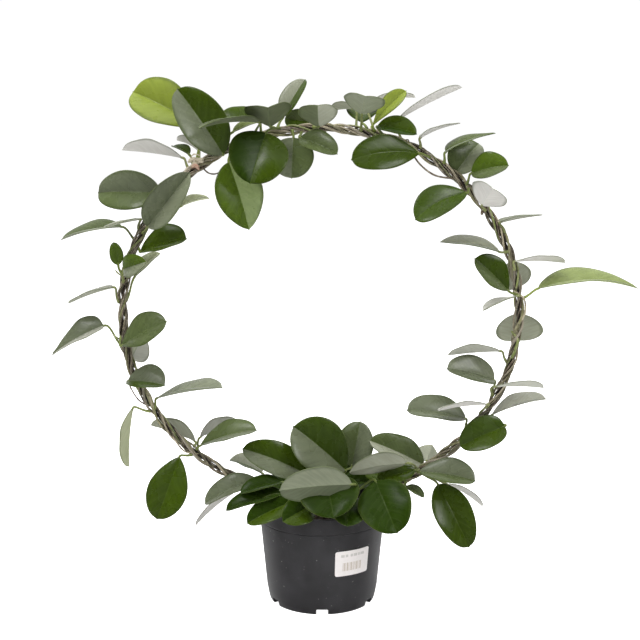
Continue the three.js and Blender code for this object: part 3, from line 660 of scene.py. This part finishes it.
MATERIALS = {
    "plastic": plastic(),
    "paper": paper(),
    "text_ink": ink("label_dashes", "#bdb9b5", "#dbd7d3"),
    "bar_ink": ink("label_bars", "#b3a493", "#d3c8bc"),
    "peat": peat(),
    "wire": painted_wire(),
    "bark": bark(),
    "upper": lamina("leaf_upper", 0.5, (0.22, 0.34), grain=0.12),
    "dull": lamina("leaf_upper_deep", 0.2, (0.22, 0.34), grain=0.12),
    "under": lamina("leaf_under", 0.35, (0.45, 0.6)),
    "stalk": stalk_skin(),
}

# ---------------------------------------------------------------- meshes


def add_object(name, data):
    made = bpy.data.objects.new(name, data)
    bpy.context.scene.collection.objects.link(made)
    return made


def mesh_of(name, points, faces):
    """A mesh in metres, of points in millimetres."""
    mesh = bpy.data.meshes.new(name)
    mesh.from_pydata([point * METRES for point in points], [], faces)
    return mesh


class Skin:
    """The faces of one piece, with each face's material and tone, and a place for each point."""

    def __init__(self):
        self.points = []
        self.places = []
        self.faces = []
        self.slots = []
        self.tones = []

    def add(self, points, faces, slot, tone=WHITE, places=None):
        """slot is one material's name or one for each face, and so is tone."""
        first = len(self.points)
        self.points += points
        self.places += places or [(0, 0, 0)] * len(points)
        self.faces += [[first + i for i in face] for face in faces]
        self.slots += slot if isinstance(slot, list) else [slot] * len(faces)
        self.tones += tone if isinstance(tone, list) else [tone] * len(faces)

    def piece(self, name, slot, nodes, sharp=None):
        """The finished object, which stands for the CAD nodes. sharp is the least angle of a crease."""
        mesh = mesh_of(name, self.points, self.faces)
        used = sorted(set(self.slots), key=self.slots.index)
        for material in used:
            mesh.materials.append(MATERIALS[material])
        mesh.polygons.foreach_set("material_index", [used.index(slot) for slot in self.slots])
        place = mesh.attributes.new("place", "FLOAT_VECTOR", "POINT")
        place.data.foreach_set("vector", [x for spot in self.places for x in spot])
        tone = mesh.attributes.new("tone", "FLOAT_COLOR", "CORNER")
        levels = [x for face, t in zip(self.faces, self.tones) for _ in face for x in t]
        tone.data.foreach_set("color", levels)
        mesh.polygons.foreach_set("use_smooth", [True] * len(self.faces))
        if sharp is not None:
            mesh.set_sharp_from_angle(angle=math.radians(sharp))
        mesh.validate()
        made = add_object(name, mesh)
        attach(made, "root")
        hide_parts(*nodes)
        return made


def closed(rings):
    """Points and faces of a solid, whose skin runs over rings of points, each the same length."""
    size = len(rings[0])
    faces = []
    for i in range(len(rings) - 1):
        for j in range(size):
            a, b = i * size + j, i * size + (j + 1) % size
            faces.append((a, b, b + size, a + size))
    last = (len(rings) - 1) * size
    faces.append(tuple(range(size - 1, -1, -1)))
    faces.append(tuple(range(last, last + size)))
    return [point for ring in rings for point in ring], faces


def tube(skin, path, radii, sides, slot, tone=WHITE, seed=0.0):
    """A round closed bar along a path, whose radius may change. seed sets its grain apart."""
    rings = []
    places = []
    travelled = 0.0
    side = Vector((0.3, 1, 0.2))  # of the cross-section, and along no path
    for i, point in enumerate(path):
        heading = (path[min(i + 1, len(path) - 1)] - path[max(i - 1, 0)]).normalized()
        side = (side - heading * side.dot(heading)).normalized()
        up = heading.cross(side)
        travelled += (point - path[i - 1]).length if i else 0.0
        ring = []
        for k in range(sides):
            turn = WHOLE_TURN * k / sides
            ring.append(point + (side * math.cos(turn) + up * math.sin(turn)) * radii[i])
            places.append((travelled, math.cos(turn) + 7 * seed, math.sin(turn) + 3 * seed))
        rings.append(ring)
    skin.add(*closed(rings), slot, tone, places)


def bezier(points, t):
    """The point of a cubic curve at t."""
    a, b, c, d = points
    s = 1 - t
    return a * s**3 + b * (3 * s * s * t) + c * (3 * s * t * t) + d * t**3


def arc(centre, radius, start, end, steps):
    """Points (x, y) of a circle's arc, from one angle to another in degrees."""
    turns = [math.radians(start + (end - start) * i / steps) for i in range(steps + 1)]
    return [(centre[0] + radius * math.cos(t), centre[1] + radius * math.sin(t)) for t in turns]


def smooth_path(points, step):
    """A smooth open path through points, about step apart."""
    ends = [points[0] * 2 - points[1], *points, points[-1] * 2 - points[-2]]
    path = []
    for a, b, c, d in zip(ends, ends[1:], ends[2:], ends[3:]):
        handles = (b, b + (c - a) / 6, c - (d - b) / 6, c)
        count = max(1, round((c - b).length / step))
        path += [bezier(handles, k / count) for k in range(count)]
    return [*path, points[-1]]


# ---------------------------------------------------------------- pot and label


def outer_radius(z):
    return POT.foot_radius + POT.draft * z


def inner_radius(z):
    return outer_radius(z) - POT.wall


FLOOR_TOP = POT.notch_height + POT.floor_thick


def pot_profile():
    """The pot's section as (radius, height), from the middle of its underside round to its floor."""
    lip = outer_radius(POT.height) + POT.band_proud
    edge = POT.rim_round
    toe = outer_radius(POT.toe_bend) - POT.toe_bend_inset
    foot = outer_radius(0) - POT.foot_inset
    band = outer_radius(POT.band_from)
    floor_edge = inner_radius(POT.toe_bend) - POT.toe_bend_inset
    toe_curve = (
        Vector((foot, 0.5)),
        Vector((foot + 0.75, 1.8)),
        Vector((toe, POT.toe_bend)),
        Vector((outer_radius(POT.toe_height), POT.toe_height)),
    )
    toe_round = [bezier(toe_curve, t / 8) for t in range(9)]
    return [
        # the hub and the foot ring, with the hollow between them
        (0, POT.hub_lift),
        (POT.hub_radius - 0.5, POT.hub_lift),
        (POT.hub_radius, POT.hub_lift + 0.5),
        (POT.hub_radius + 0.6, POT.notch_height),
        (POT.foot_inner, POT.notch_height),
        (POT.foot_inner + 0.3, 0.4),
        (POT.foot_inner + 0.7, 0),
        (foot - 0.5, 0),
        # up the outside: the toe, the groove under the rim band and the band's rounded edge
        *toe_round,
        (band - 0.02, POT.band_from - 1.0),
        (band - POT.groove, POT.band_from - 0.6),
        (band - POT.groove, POT.band_from),
        (band + 0.25, POT.band_from + 0.35),
        (band + POT.band_proud + 0.1, POT.band_from + 0.8),
        (band + POT.band_proud + 0.05, POT.band_from + 1.5),
        # over the rim
        *arc((lip - edge, POT.height - edge), edge, 0, 90, 5),
        *arc((lip - POT.rim_thick + edge, POT.height - edge), edge, 90, 180, 5),
        # and down the inside to the floor, with a round corner
        (inner_radius(POT.toe_height), POT.toe_height),
        (floor_edge, FLOOR_TOP + POT.cove),
        (floor_edge - 0.35, FLOOR_TOP + 0.35),
        (floor_edge - POT.cove, FLOOR_TOP),
        (0, FLOOR_TOP),
    ]


def polar(radius, turn, height=0):
    return Vector((radius * math.cos(turn), radius * math.sin(turn), height))


def lathe(profile, sides):
    """Points and faces of a solid of revolution, whose profile starts and ends on the axis."""
    points = [Vector((0, 0, profile[0][1])), Vector((0, 0, profile[-1][1]))]
    inner = profile[1:-1]
    for k in range(sides):
        turn = WHOLE_TURN * k / sides
        points += [polar(radius, turn, height) for radius, height in inner]
    size = len(inner)
    faces = []
    for k in range(sides):
        here, there = 2 + k * size, 2 + (k + 1) % sides * size
        faces.append((0, there, here))
        faces.append((1, here + size - 1, there + size - 1))
        for i in range(size - 1):
            faces.append((here + i, there + i, there + i + 1, here + i + 1))
    return points, faces


def cut_away(target, solids):
    """Takes each solid, given as its points and faces, away from the target."""
    tools = [add_object("cutter", mesh_of("cutter", *solid)) for solid in solids]
    for tool in tools:
        cut = target.modifiers.new("cut", "BOOLEAN")
        cut.operation = "DIFFERENCE"
        cut.solver = "EXACT"
        cut.object = tool
    shaped = bpy.data.meshes.new_from_object(
        target.evaluated_get(bpy.context.evaluated_depsgraph_get())
    )
    target.modifiers.clear()
    target.data = shaped
    for tool in tools:
        bpy.data.objects.remove(tool)


def notch_tool(turn):
    """A block with rounded upper corners, across the foot ring at an angle."""
    half, top, rounding = POT.notch_width / 2, POT.notch_height, POT.notch_round
    section = [(-half, POT.cut_from), (half, POT.cut_from)]
    section += arc((half - rounding, top - rounding), rounding, 0, 90, 4)
    section += arc((rounding - half, top - rounding), rounding, 90, 180, 4)
    reach = (outer_radius(0) - POT.notch_depth / 2, outer_radius(0) + POT.notch_depth / 2)
    forward = polar(1, turn)
    side = UP.cross(forward)
    rings = [[forward * far + side * x + UP * z for x, z in section] for far in reach]
    return closed(rings)


def drain_tool(turn):
    """An upright bar with 24 sides through the pot's floor."""
    centre = polar(1, turn) * POT.drain_ring
    ring = [Vector((x, y, 0)) for x, y in arc((centre.x, centre.y), POT.drain_radius, 0, 345, 23)]
    rings = [[point + UP * z for point in ring] for z in (POT.cut_from, 2 * FLOOR_TOP)]
    return closed(rings)


def make_pot():
    skin = Skin()
    skin.add(*lathe(pot_profile(), POT.sides), "plastic")
    pot = skin.piece("nursery_pot", "pot", ["pot"])
    cuts = [notch_tool(WHOLE_TURN / POT.notches * i - math.pi / 2) for i in range(POT.notches)]
    cuts += [drain_tool(WHOLE_TURN / POT.drain_holes * (i + 0.5)) for i in range(POT.drain_holes)]
    cut_away(pot, cuts)
    pot.data.set_sharp_from_angle(angle=math.radians(POT.crease))


def wall_point(degrees, z, out):
    """A point off the pot's wall, at an angle to the right of its front."""
    turn = math.radians(degrees) - math.pi / 2
    return polar(outer_radius(z) + out, turn, z)


def bent_plate(skin, columns, out, slot):
    """A closed plate bent round the wall. columns are (degrees, bottom, top) from left to right."""
    near, far = out
    rings = [
        [
            wall_point(degrees, low, far),
            wall_point(degrees, high, far),
            wall_point(degrees, high, near),
            wall_point(degrees, low, near),
        ]
        for degrees, low, high in columns
    ]
    skin.add(*closed(rings), slot)


def label_columns():
    """The sticker's columns, shortened at its two ends to round its corners."""
    columns = []
    turn = math.degrees(LABEL.corner / outer_radius((LABEL.bottom + LABEL.top) / 2))
    for i in range(LABEL.columns + 1):
        share = 0.5 - 0.5 * math.cos(math.pi * i / LABEL.columns)
        degrees = LABEL.start + (LABEL.end - LABEL.start) * share
        from_end = min(degrees - LABEL.start, LABEL.end - degrees)
        inwards = max(0.0, 1 - from_end / turn)
        inset = LABEL.corner * (1 - math.sqrt(1 - inwards**2))
        columns.append((degrees, LABEL.bottom + inset, LABEL.top - inset))
    return columns


def make_label():
    """A white sticker with plain dashes and bars where a real one has its print."""
    skin = Skin()
    top = LABEL.gap + LABEL.thick
    bent_plate(skin, label_columns(), (LABEL.gap, top), "paper")
    raised = (top - INK.sunk, top + INK.proud)
    for start, end in INK.dashes:
        span = [start + (end - start) * k / 4 for k in range(5)]
        bent_plate(skin, [(degrees, *INK.dash_row) for degrees in span], raised, "text_ink")
    degrees = INK.bar_start
    for width, gap in zip(INK.bar_widths, INK.bar_gaps):
        bent_plate(skin, [(d, *INK.bars) for d in (degrees, degrees + width)], raised, "bar_ink")
        degrees += width + gap
    skin.piece("sticker", "label", ["label"], sharp=LABEL.crease)


# ---------------------------------------------------------------- soil


def soil_height(x, y):
    """The filling's rough surface, a low mound."""
    far = min(1.0, math.hypot(x, y) / inner_radius(SOIL.edge))
    mound = SOIL.edge + (SOIL.crown - SOIL.edge) * (1 - far * far)
    rough = noise.fractal(Vector((x, y, 0)) * SOIL.relief_grain, *SOIL.relief_fractal)
    smoother = 1 - 0.6 * far**6  # beside the wall
    return mound + SOIL.relief * rough * smoother


def crumb(skin, rng, centre, size):
    """One lump of the mix: a small ball pushed out of round."""
    ball = bmesh.new()
    bmesh.ops.create_icosphere(ball, subdivisions=1, radius=1)
    stretch = Vector([rng.uniform(*limits) for limits in SOIL.crumb_stretch])
    turn = rng.uniform(0, WHOLE_TURN)
    points = []
    for vertex in ball.verts:
        push = 1 + SOIL.crumb_dents * noise.noise(vertex.co * SOIL.crumb_grain + centre)
        x, y, z = (vertex.co[i] * stretch[i] * push * size for i in range(3))
        spun = (x * math.cos(turn) - y * math.sin(turn), x * math.sin(turn) + y * math.cos(turn), z)
        points.append(centre + Vector(spun))
    faces = [[v.index for v in face.verts] for face in ball.faces]
    ball.free()
    skin.add(points, faces, "peat")


def make_soil():
    slack = SOIL.looseness
    base = [
        (0, FLOOR_TOP + slack),
        (inner_radius(POT.toe_bend) - 2 * POT.cove, FLOOR_TOP + slack),
        (inner_radius(POT.toe_height) - slack, POT.toe_height),
    ]
    edge = inner_radius(SOIL.edge) - slack
    # the rings of the upper side lie a little closer together near the wall
    rings = [edge * (1 - (i / SOIL.rings) ** 1.1) for i in range(SOIL.rings)]
    profile = [*base, *((radius, SOIL.edge) for radius in rings), (0, SOIL.edge)]
    points, faces = lathe(profile, SOIL.sides)
    for point in points:
        if point.z >= SOIL.edge:
            point.z = soil_height(point.x, point.y)
    skin = Skin()
    skin.add(points, faces, "peat")
    rng = random.Random(11)
    for _ in range(SOIL.crumbs):
        far = (edge - SOIL.crumb_free) * math.sqrt(rng.random())
        turn = rng.uniform(0, WHOLE_TURN)
        x, y = far * math.cos(turn), far * math.sin(turn)
        size = rng.uniform(*SOIL.crumb_size) * rng.uniform(0.5, 1)
        crumb(skin, rng, Vector((x, y, soil_height(x, y) + 0.15 * size)), size)
    skin.piece("potting_mix", "soil", ["soil"])


# ---------------------------------------------------------------- hoop


def ring_point(degrees):
    turn = math.radians(degrees)
    x = HOOP.centre[0] + HOOP.half_width * math.cos(turn)
    return Vector((x, 0, HOOP.centre[1] + HOOP.half_height * math.sin(turn)))


def leg_ends(side):
    """Where a leg of the hoop meets the soil, and its end in the soil."""
    entry, over = (Vector((side * x, 0, z)) for x, z in (HOOP.entry, HOOP.over))
    down = (entry - over).normalized()
    return entry, entry + down * ((HOOP.foot - entry.z) / down.z)


def leg_bend(side, start):
    """The curve from the ring in to the soil."""
    shoulder, over = (Vector((side * x, 0, z)) for x, z in (HOOP.shoulder, HOOP.over))
    handles = (start, shoulder, over, leg_ends(side)[0])
    return [bezier(handles, t / HOOP.bend_steps) for t in range(HOOP.bend_steps + 1)]


def evenly(points, step):
    """The same line with its points a step apart, and its length."""
    travelled = [0.0]
    for a, b in zip(points, points[1:]):
        travelled.append(travelled[-1] + (b - a).length)
    count = round(travelled[-1] / step)
    spaced = []
    i = 0
    for k in range(count + 1):
        wanted = travelled[-1] * k / count
        while i < len(points) - 2 and travelled[i + 1] < wanted:
            i += 1
        share = (wanted - travelled[i]) / max(1e-9, travelled[i + 1] - travelled[i])
        spaced.append(points[i].lerp(points[i + 1], share))
    return spaced, travelled[-1]


def hoop_line():
    """The wire's line: out of the soil on the left, round the ring and back in on the right."""
    left = [leg_ends(-1)[1], *reversed(leg_bend(-1, ring_point(HOOP.start)))]
    turn, steps = HOOP.end - HOOP.start, HOOP.ring_steps
    ring = [ring_point(HOOP.start + turn * i / steps) for i in range(1, steps)]
    return [*left, *ring, *leg_bend(1, ring_point(HOOP.end)), leg_ends(1)[1]]


TRACK, WIRE_LENGTH = evenly(hoop_line(), 1)


def along_wire(distance):
    """The wire's middle and its outward direction at a distance along it."""
    last = len(TRACK) - 1
    place = distance / WIRE_LENGTH * last
    i = max(0, min(int(place), last - 1))
    point = TRACK[i].lerp(TRACK[i + 1], place - i)
    heading = TRACK[min(last, i + 3)] - TRACK[max(0, i - 2)]
    return point, FORWARD.cross(heading).normalized()


def nearest_on_wire(node):
    spot = Vector((node[0], 0, node[1]))
    best = min(range(len(TRACK)), key=lambda i: (TRACK[i] - spot).length)
    return best / (len(TRACK) - 1) * WIRE_LENGTH


def distance_at_height(height):
    first = next(i for i, point in enumerate(TRACK) if point.z >= height)
    return first / (len(TRACK) - 1) * WIRE_LENGTH


def round_wire(distance, turn, reach):
    """A point beside the wire, turned round it, and the direction away from the wire there."""
    point, outward = along_wire(distance)
    turn += WHOLE_TURN * distance / STEM.twist
    away = outward * math.cos(turn) + FORWARD * math.sin(turn)
    return point + away * reach, away


VINE_START = distance_at_height(STEM.foot)
TWINED = WIRE_LENGTH - 2 * VINE_START  # of the wire, from soil to soil
VINE_LENGTH = TWINED / STEM.lengths


def make_hoop():
    skin = Skin()
    path = TRACK[::2]  # every second point is close enough
    tube(skin, path, [HOOP.wire] * len(path), HOOP.sides, "wire")
    skin.piece("wire_hoop", "hoop_wire", ["hoop"])


# ---------------------------------------------------------------- stems


def strand_path(number, stem, offset, reach):
    """One thin stem from soil to soil, which wanders a little in the bundle."""
    path = []
    steps = round(TWINED / WANDER.step)
    for i in range(steps + 1):
        distance = VINE_START + TWINED * i / steps
        sway = noise.noise(Vector((distance / WANDER.turn_length, number * 5.3, 1.7)))
        lift = noise.noise(Vector((distance / WANDER.reach_length, number * 3.1, 8.2)))
        turn = WHOLE_TURN * stem / STEM.count + math.radians(offset + WANDER.turn * sway)
        path.append(round_wire(distance, turn, reach + WANDER.reach * lift)[0])
    return path


def strand_radii(number, radius, count):
    """Slow swellings, and a joint where a pair of leaves has grown."""
    radii = []
    gap = WANDER.joint_gap + WANDER.joint_gap_more * number
    for i in range(count):
        slow = noise.noise(Vector((i * WANDER.step / WANDER.swell_length, number * 2.9, 4.4)))
        joint = max(0.0, math.cos(i * WANDER.step * WHOLE_TURN / gap)) ** WANDER.joint_sharpness
        radii.append(radius * (1 + WANDER.swell * slow + WANDER.joint * joint))
    return radii


def side_growth(skin, number, radius, tone, spots, lumpy):
    """A strand or a growth beside the bundle, whose points are as seen from the front."""
    path = smooth_path([sighted((x, z), depth) for x, z, depth in spots], GROWTH.step)
    radii = []
    for i in range(len(path)):
        lump = noise.noise(Vector((i * GROWTH.step / GROWTH.lump_length, number * 4.1, 9.3)))
        full = min(1.0, GROWTH.end + GROWTH.swell_in * min(i, len(path) - 1 - i))
        radii.append(radius * full * (1 + lumpy * lump))
    tube(skin, path, radii, WANDER.sides, "bark", colour(BARK[tone]), number + 0.5)


def darkened_bark(tone, number, path):
    """A strand's colour at each point, between its own and the darkest bark colour."""
    own, old = Vector(colour(BARK[tone])), Vector(colour(BARK["old"]))
    shades = []
    for i, point in enumerate(path):
        spot = Vector((i * WANDER.step / BARK_DARKENING.patch_length, number * 6.7, 2.6))
        share = max(0.0, BARK_DARKENING.usual + BARK_DARKENING.patches * noise.noise(spot))
        if point.z > BARK_DARKENING.left_above:
            beyond = (BARK_DARKENING.left_from - point.x) / BARK_DARKENING.left_fade
            share += BARK_DARKENING.left * min(1.0, max(0.0, beyond))
        shades.append(tuple(own.lerp(old, min(BARK_DARKENING.most, share))))
    return shades


def make_bundle():
    for stem in range(STEM.count):
        skin = Skin()
        if stem == 0:
            for number, growth in enumerate(LOOSE):
                side_growth(skin, number, *growth, GROWTH.loose_lumps)
            for number, growth in enumerate(CALLUS):
                side_growth(skin, number, *growth, GROWTH.callus_lumps)
        for number, (own, offset, reach, radius, tone) in enumerate(STRANDS):
            if own == stem:
                path = strand_path(number, stem, offset, reach)
                radii = strand_radii(number, radius, len(path))
                shades = darkened_bark(tone, number, path)
                tones = [shade for shade in shades[1:] for _ in range(WANDER.sides)]
                tones += [shades[0], shades[-1]]
                tube(skin, path, radii, WANDER.sides, "bark", tones, number)
        lengths = [f"vine_{stem + 1}_length_{part + 1}" for part in range(STEM.lengths)]
        skin.piece(f"twined_stems_{stem + 1}", "foliage", lengths)


# ---------------------------------------------------------------- leaf


def sighted(spot, depth):
    """The point at a depth on the line of sight through (x, z) of the hoop's plane."""
    share = (depth - EYE.y) / -EYE.y
    return EYE.lerp(Vector((spot[0], 0, spot[1])), share)


def outline(share, form):
    """The blade's width, from 0 to 1 at its widest, at a share of the way from base to tip."""
    share = min(1.0, share / (1 - form.point))
    power = math.log(0.5) / math.log(form.widest)
    roundness = form.blunt if share < form.widest else form.tip_blunt
    return max(0.0, math.sin(math.pi * share**power)) ** roundness


def half_width(share, length, form):
    """Half the blade's width, with the round end drawn out to a small point."""
    body = form.width * outline(share, form) / 2
    point = min((1 - share) * length, 2 * form.point * length) if share > 0.5 else 0
    return max((body**3 + point**3) ** (1 / 3), form.end / 2 * (1 - share), form.least)


def leaf_frame(form):
    """The blade's base, its directions along, across and out of the upper side, and its length."""
    base, tip = sighted(form.base, form.depth[0]), sighted(form.tip, form.depth[1])
    along = (tip - base).normalized()
    to_viewer = EYE - base.lerp(tip, 0.5)
    to_viewer = (to_viewer - along * to_viewer.dot(along)).normalized()
    upward = along.cross(to_viewer)
    if upward.z < 0:
        upward.negate()
    turn = math.radians(form.face)
    normal = to_viewer * math.cos(turn) + upward * math.sin(turn)
    return Values(
        base=base, along=along, normal=normal, across=along.cross(normal), length=(tip - base).length
    )


def blade_point(form, axes, rng, share, side):
    """A point of the blade's middle surface. side runs from -1 to 1 across it."""
    half = half_width(share, axes.length, form)
    far = abs(side)
    rise = math.radians(form.fold)
    lift = 4 * form.arch * axes.length * share * (1 - share)
    up = half * math.sin(rise) * far
    up += half * form.bulge * far * (1 - far) * 2
    ripple = WHOLE_TURN * (rng.waves * share + rng.phase + 0.5 * (side > 0))
    up += half * form.wave * far * far * math.sin(ripple)
    course = share - form.slant * far
    quilt = form.quilting * min(1.0, half / form.quilted_from)
    up -= quilt * math.cos(WHOLE_TURN * form.veins * course) * 4 * far * (1 - far)
    bow = 4 * axes.length * share * (1 - share)
    out = half * side * math.cos(rise) + (form.bend + rng.lean) * bow
    rib = axes.base + axes.along * (axes.length * share)
    return rib + axes.across * out + axes.normal * (lift + up)


def blade(skin, form, axes, number):
    """The blade as a closed skin: an upper and a lower side that meet at a rounded margin."""
    dice = random.Random(number)
    rng = Values(
        waves=dice.uniform(1.2, 2.2), phase=dice.random(), lean=dice.uniform(-form.lean, form.lean)
    )
    sides = [-x for x in reversed(form.columns[1:])] + list(form.columns)
    count, rows = len(sides), form.rows
    points, places = [], []

    def add(share, side, level):
        far = abs(side)
        rounded = math.sqrt(max(0.0, 1 - far**6))  # the margin
        thinned = 0.5 + 0.5 * min(1.0, 8 * (1 - share) + 0.2)  # the tip
        thick = form.thick * rounded * thinned / 2
        if level > 0:
            thick -= form.groove * math.exp(-((far / form.groove_width) ** 2)) * (1 - share**3)
        else:
            thick += 0.5 * form.groove * math.exp(-((far / form.keel_width) ** 2)) * (1 - share)
        points.append(blade_point(form, axes, rng, share, side) + axes.normal * (level * thick))
        places.append((share, side, number * LEAF_SEED))
        return len(points) - 1

    upper, lower = [], []  # rows of point numbers, which share the two margins
    for i in range(rows + 1):
        share = 0.5 - 0.5 * math.cos(math.pi * i / rows)
        top = [add(share, side, 1) for side in sides]
        middle = [add(share, side, -1) for side in sides[1:-1]]
        upper.append(top)
        lower.append([top[0], *middle, top[-1]])
    words = form.tone.split()
    shade = dice.uniform(0.9, 1.1)
    faces, slots, tones = [], [], []

    # each half of the blade takes its own tone; where the two differ, the paler half is partly painted
    # sheen, the bright room mirrored in that half
    def cover(face, slot, column):
        half = words[0] if column >= count // 2 else words[-1]
        upper_tone, under_tone, _ = TONES[half]
        faces.append(face)
        # the deep green leaves, low in the plant, are duller than the rest
        slots.append("dull" if slot == "upper" and half == "deep" else slot)
        tones.append(colour(upper_tone if slot == "upper" else under_tone, shade))

    for i in range(rows):
        for j in range(count - 1):
            for slot, grid, step in (("upper", upper, 1), ("under", lower, -1)):
                quad = (grid[i][j], grid[i][j + 1], grid[i + 1][j + 1], grid[i + 1][j])
                cover(quad[::step], slot, j)
    for row, step in ((0, -1), (rows, 1)):
        loop = upper[row] + lower[row][-2:0:-1]
        cover(loop[::step], "under", count // 2)
    skin.add(points, faces, slots, tones, places)


def stalk(skin, form, axes, root, away):
    """The leaf's stalk, which is thicker at its root and ends inside the blade."""
    start = axes.along + axes.normal * (4 * form.arch) + axes.across * (4 * form.bend)
    start.normalize()
    reach = (axes.base - root).length
    onward = (axes.base - root) / max(reach, 1e-6)
    leaving = (away * STALK.away + onward).normalized()
    handles = (
        root,
        root + leaving * (STEM.radius + min(STALK.spring, reach / 2)),
        axes.base - start * (STALK.arrive * reach),
        axes.base,
    )
    path = [bezier(handles, i / STALK.rows) for i in range(STALK.rows + 1)]
    radii = []
    for i in range(STALK.rows + 1):
        share = i / STALK.rows
        swell = (STALK.root - STALK.radius) * math.exp(-share * reach / STALK.root_length)
        radii.append(STALK.radius * (1 - STALK.waist * math.sin(math.pi * share)) + swell)
    path.append(axes.base + start * STALK.inside)
    radii.append(STALK.radius * STALK.inside_radius)
    tone = colour(TONES[form.tone.split()[0]][2])
    tube(skin, path, radii, STALK.sides, "stalk", tone)


def grow(skin, form, root, away, number):
    axes = leaf_frame(form)
    blade(skin, form, axes, number)
    stalk(skin, form, axes, root, away)


def spring_on_vine(form):
    """Which stem of the source a leaf grows from, in which length, and the point and way out there.

    That is the stem that comes nearest to the leaf's base where it passes the leaf's node.
    """
    distance = nearest_on_wire(form.node)
    base = sighted(form.base, form.depth[0])
    springs = []
    for stem in range(STEM.count):
        point, away = round_wire(distance, WHOLE_TURN * stem / STEM.count, STEM.reach)
        springs.append(((point - base).length, stem, point, away))
    _, stem, point, away = min(springs)
    part = int((distance - VINE_START) / VINE_LENGTH)
    return stem, part, point, away


def make_vine_leaves():
    skins = {}
    for number, form in enumerate(VINE_LEAVES):
        stem, part, point, away = spring_on_vine(form)
        skin = skins.setdefault((stem, part), Skin())
        grow(skin, form, point, away, number)
    for (stem, part), skin in sorted(skins.items()):
        name = f"{stem + 1}_length_{part + 1}"
        skin.piece(f"leaves_of_vine_{name}", "foliage", [f"vine_{name}"])


def make_shoots():
    number = len(VINE_LEAVES)
    for name, shoot in SHOOTS.items():
        foot, head = Vector(shoot.foot), Vector(shoot.head)
        skin = Skin()
        path, radii = [], []
        for i in range(SHOOT.steps + 1):
            path.append(foot.lerp(head, i / SHOOT.steps))
            swell = SHOOT.swell * math.sin(i * 1.3)
            radii.append(SHOOT.radius * (1 + swell - SHOOT.taper * i))
        tube(skin, path, radii, SHOOT.sides, "bark", colour(BARK["olive"]), number)
        for form in shoot.leaves:
            spring = foot.lerp(head, (form.node - foot.z) / (head.z - foot.z))
            away = (sighted(form.base, form.depth[0]) - spring).normalized()
            grow(skin, form, spring, away, number)
            number += 1
        skin.piece(f"leafy_{name}", "foliage", [name])


# ---------------------------------------------------------------- studio


def make_camera():
    data = bpy.data.cameras.new("photograph")
    data.lens = CAMERA.lens
    data.sensor_width = CAMERA.sensor
    camera = add_object("photograph", data)
    camera.location = EYE * METRES
    camera.rotation_euler = (math.radians(90 + CAMERA.pitch), 0, 0)
    bpy.context.scene.camera = camera
    bpy.context.scene.view_settings.view_transform = "Standard"  # white paper stays white


def softbox(name, place, aim, size, watts, mirrored):
    """A lamp with a flat screen, of the settings that LAMPS lists."""
    data = bpy.data.lights.new(name, "AREA")
    data.shape = "RECTANGLE"
    data.size, data.size_y = size
    data.energy = watts
    lamp = add_object(name, data)
    lamp.location = place
    lamp.rotation_euler = (Vector(aim) - Vector(place)).to_track_quat("-Z", "Y").to_euler()
    lamp.visible_glossy = mirrored


def white_to_the_camera(tree, strength):
    """Feeds a strength with STUDIO.seen for the camera, and gives the socket for all other rays."""
    chosen = tree.nodes.new("ShaderNodeMix")
    share, others, camera = chosen.inputs[0], chosen.inputs[2], chosen.inputs[3]
    tree.links.new(tree.nodes.new("ShaderNodeLightPath").outputs["Is Camera Ray"], share)
    tree.links.new(chosen.outputs[0], strength)
    camera.default_value = STUDIO.seen
    return others


def make_floor():
    mesh = bpy.data.meshes.new("studio_floor")
    half, steps = STUDIO.floor_half, STUDIO.floor_steps
    ticks = [-half + 2 * half * i / steps for i in range(steps + 1)]
    points = [(x, y, 0) for y in ticks for x in ticks]
    faces = []
    for j in range(steps):
        for i in range(steps):
            a = j * (steps + 1) + i
            faces.append((a, a + 1, a + steps + 2, a + steps + 1))
    mesh.from_pydata(points, [], faces)
    paint = {"Base_Color": (0.85, 0.85, 0.85, 1), "Roughness": 0.9, "Specular_IOR_Level": 0.1}
    white = Recipe("studio_white", Emission_Color=WHITE, **paint)
    glow = white_to_the_camera(white.material.node_tree, white.shader.inputs["Emission Strength"])
    glow.default_value = STUDIO.floor
    mesh.materials.append(white.material)
    floor = add_object("studio_floor", mesh)
    floor.visible_glossy = False  # so that the leaves mirror a dark floor


def make_room():
    """A room that is all white to the camera, and lights the plant mostly from behind."""
    world = bpy.data.worlds.new("studio")
    world.use_nodes = True
    nodes, links = world.node_tree.nodes, world.node_tree.links
    heading = nodes.new("ShaderNodeTexCoord").outputs["Generated"]
    parts = nodes.new("ShaderNodeSeparateXYZ")
    links.new(heading, parts.inputs[0])
    away = nodes.new("ShaderNodeMapRange")
    links.new(parts.outputs["Y"], away.inputs["Value"])
    span = {"From Min": -0.1, "From Max": 0.6, "To Min": STUDIO.front, "To Max": STUDIO.back}
    for socket, value in span.items():
        away.inputs[socket].default_value = value
    sky = nodes["Background"]
    sky.inputs["Color"].default_value = WHITE
    links.new(away.outputs["Result"], white_to_the_camera(world.node_tree, sky.inputs["Strength"]))
    bpy.context.scene.world = world


make_camera()
make_pot()
make_label()
make_soil()
make_hoop()
make_bundle()
make_vine_leaves()
make_shoots()
make_floor()
make_room()
for name, settings in LAMPS.items():
    softbox(name, *settings)
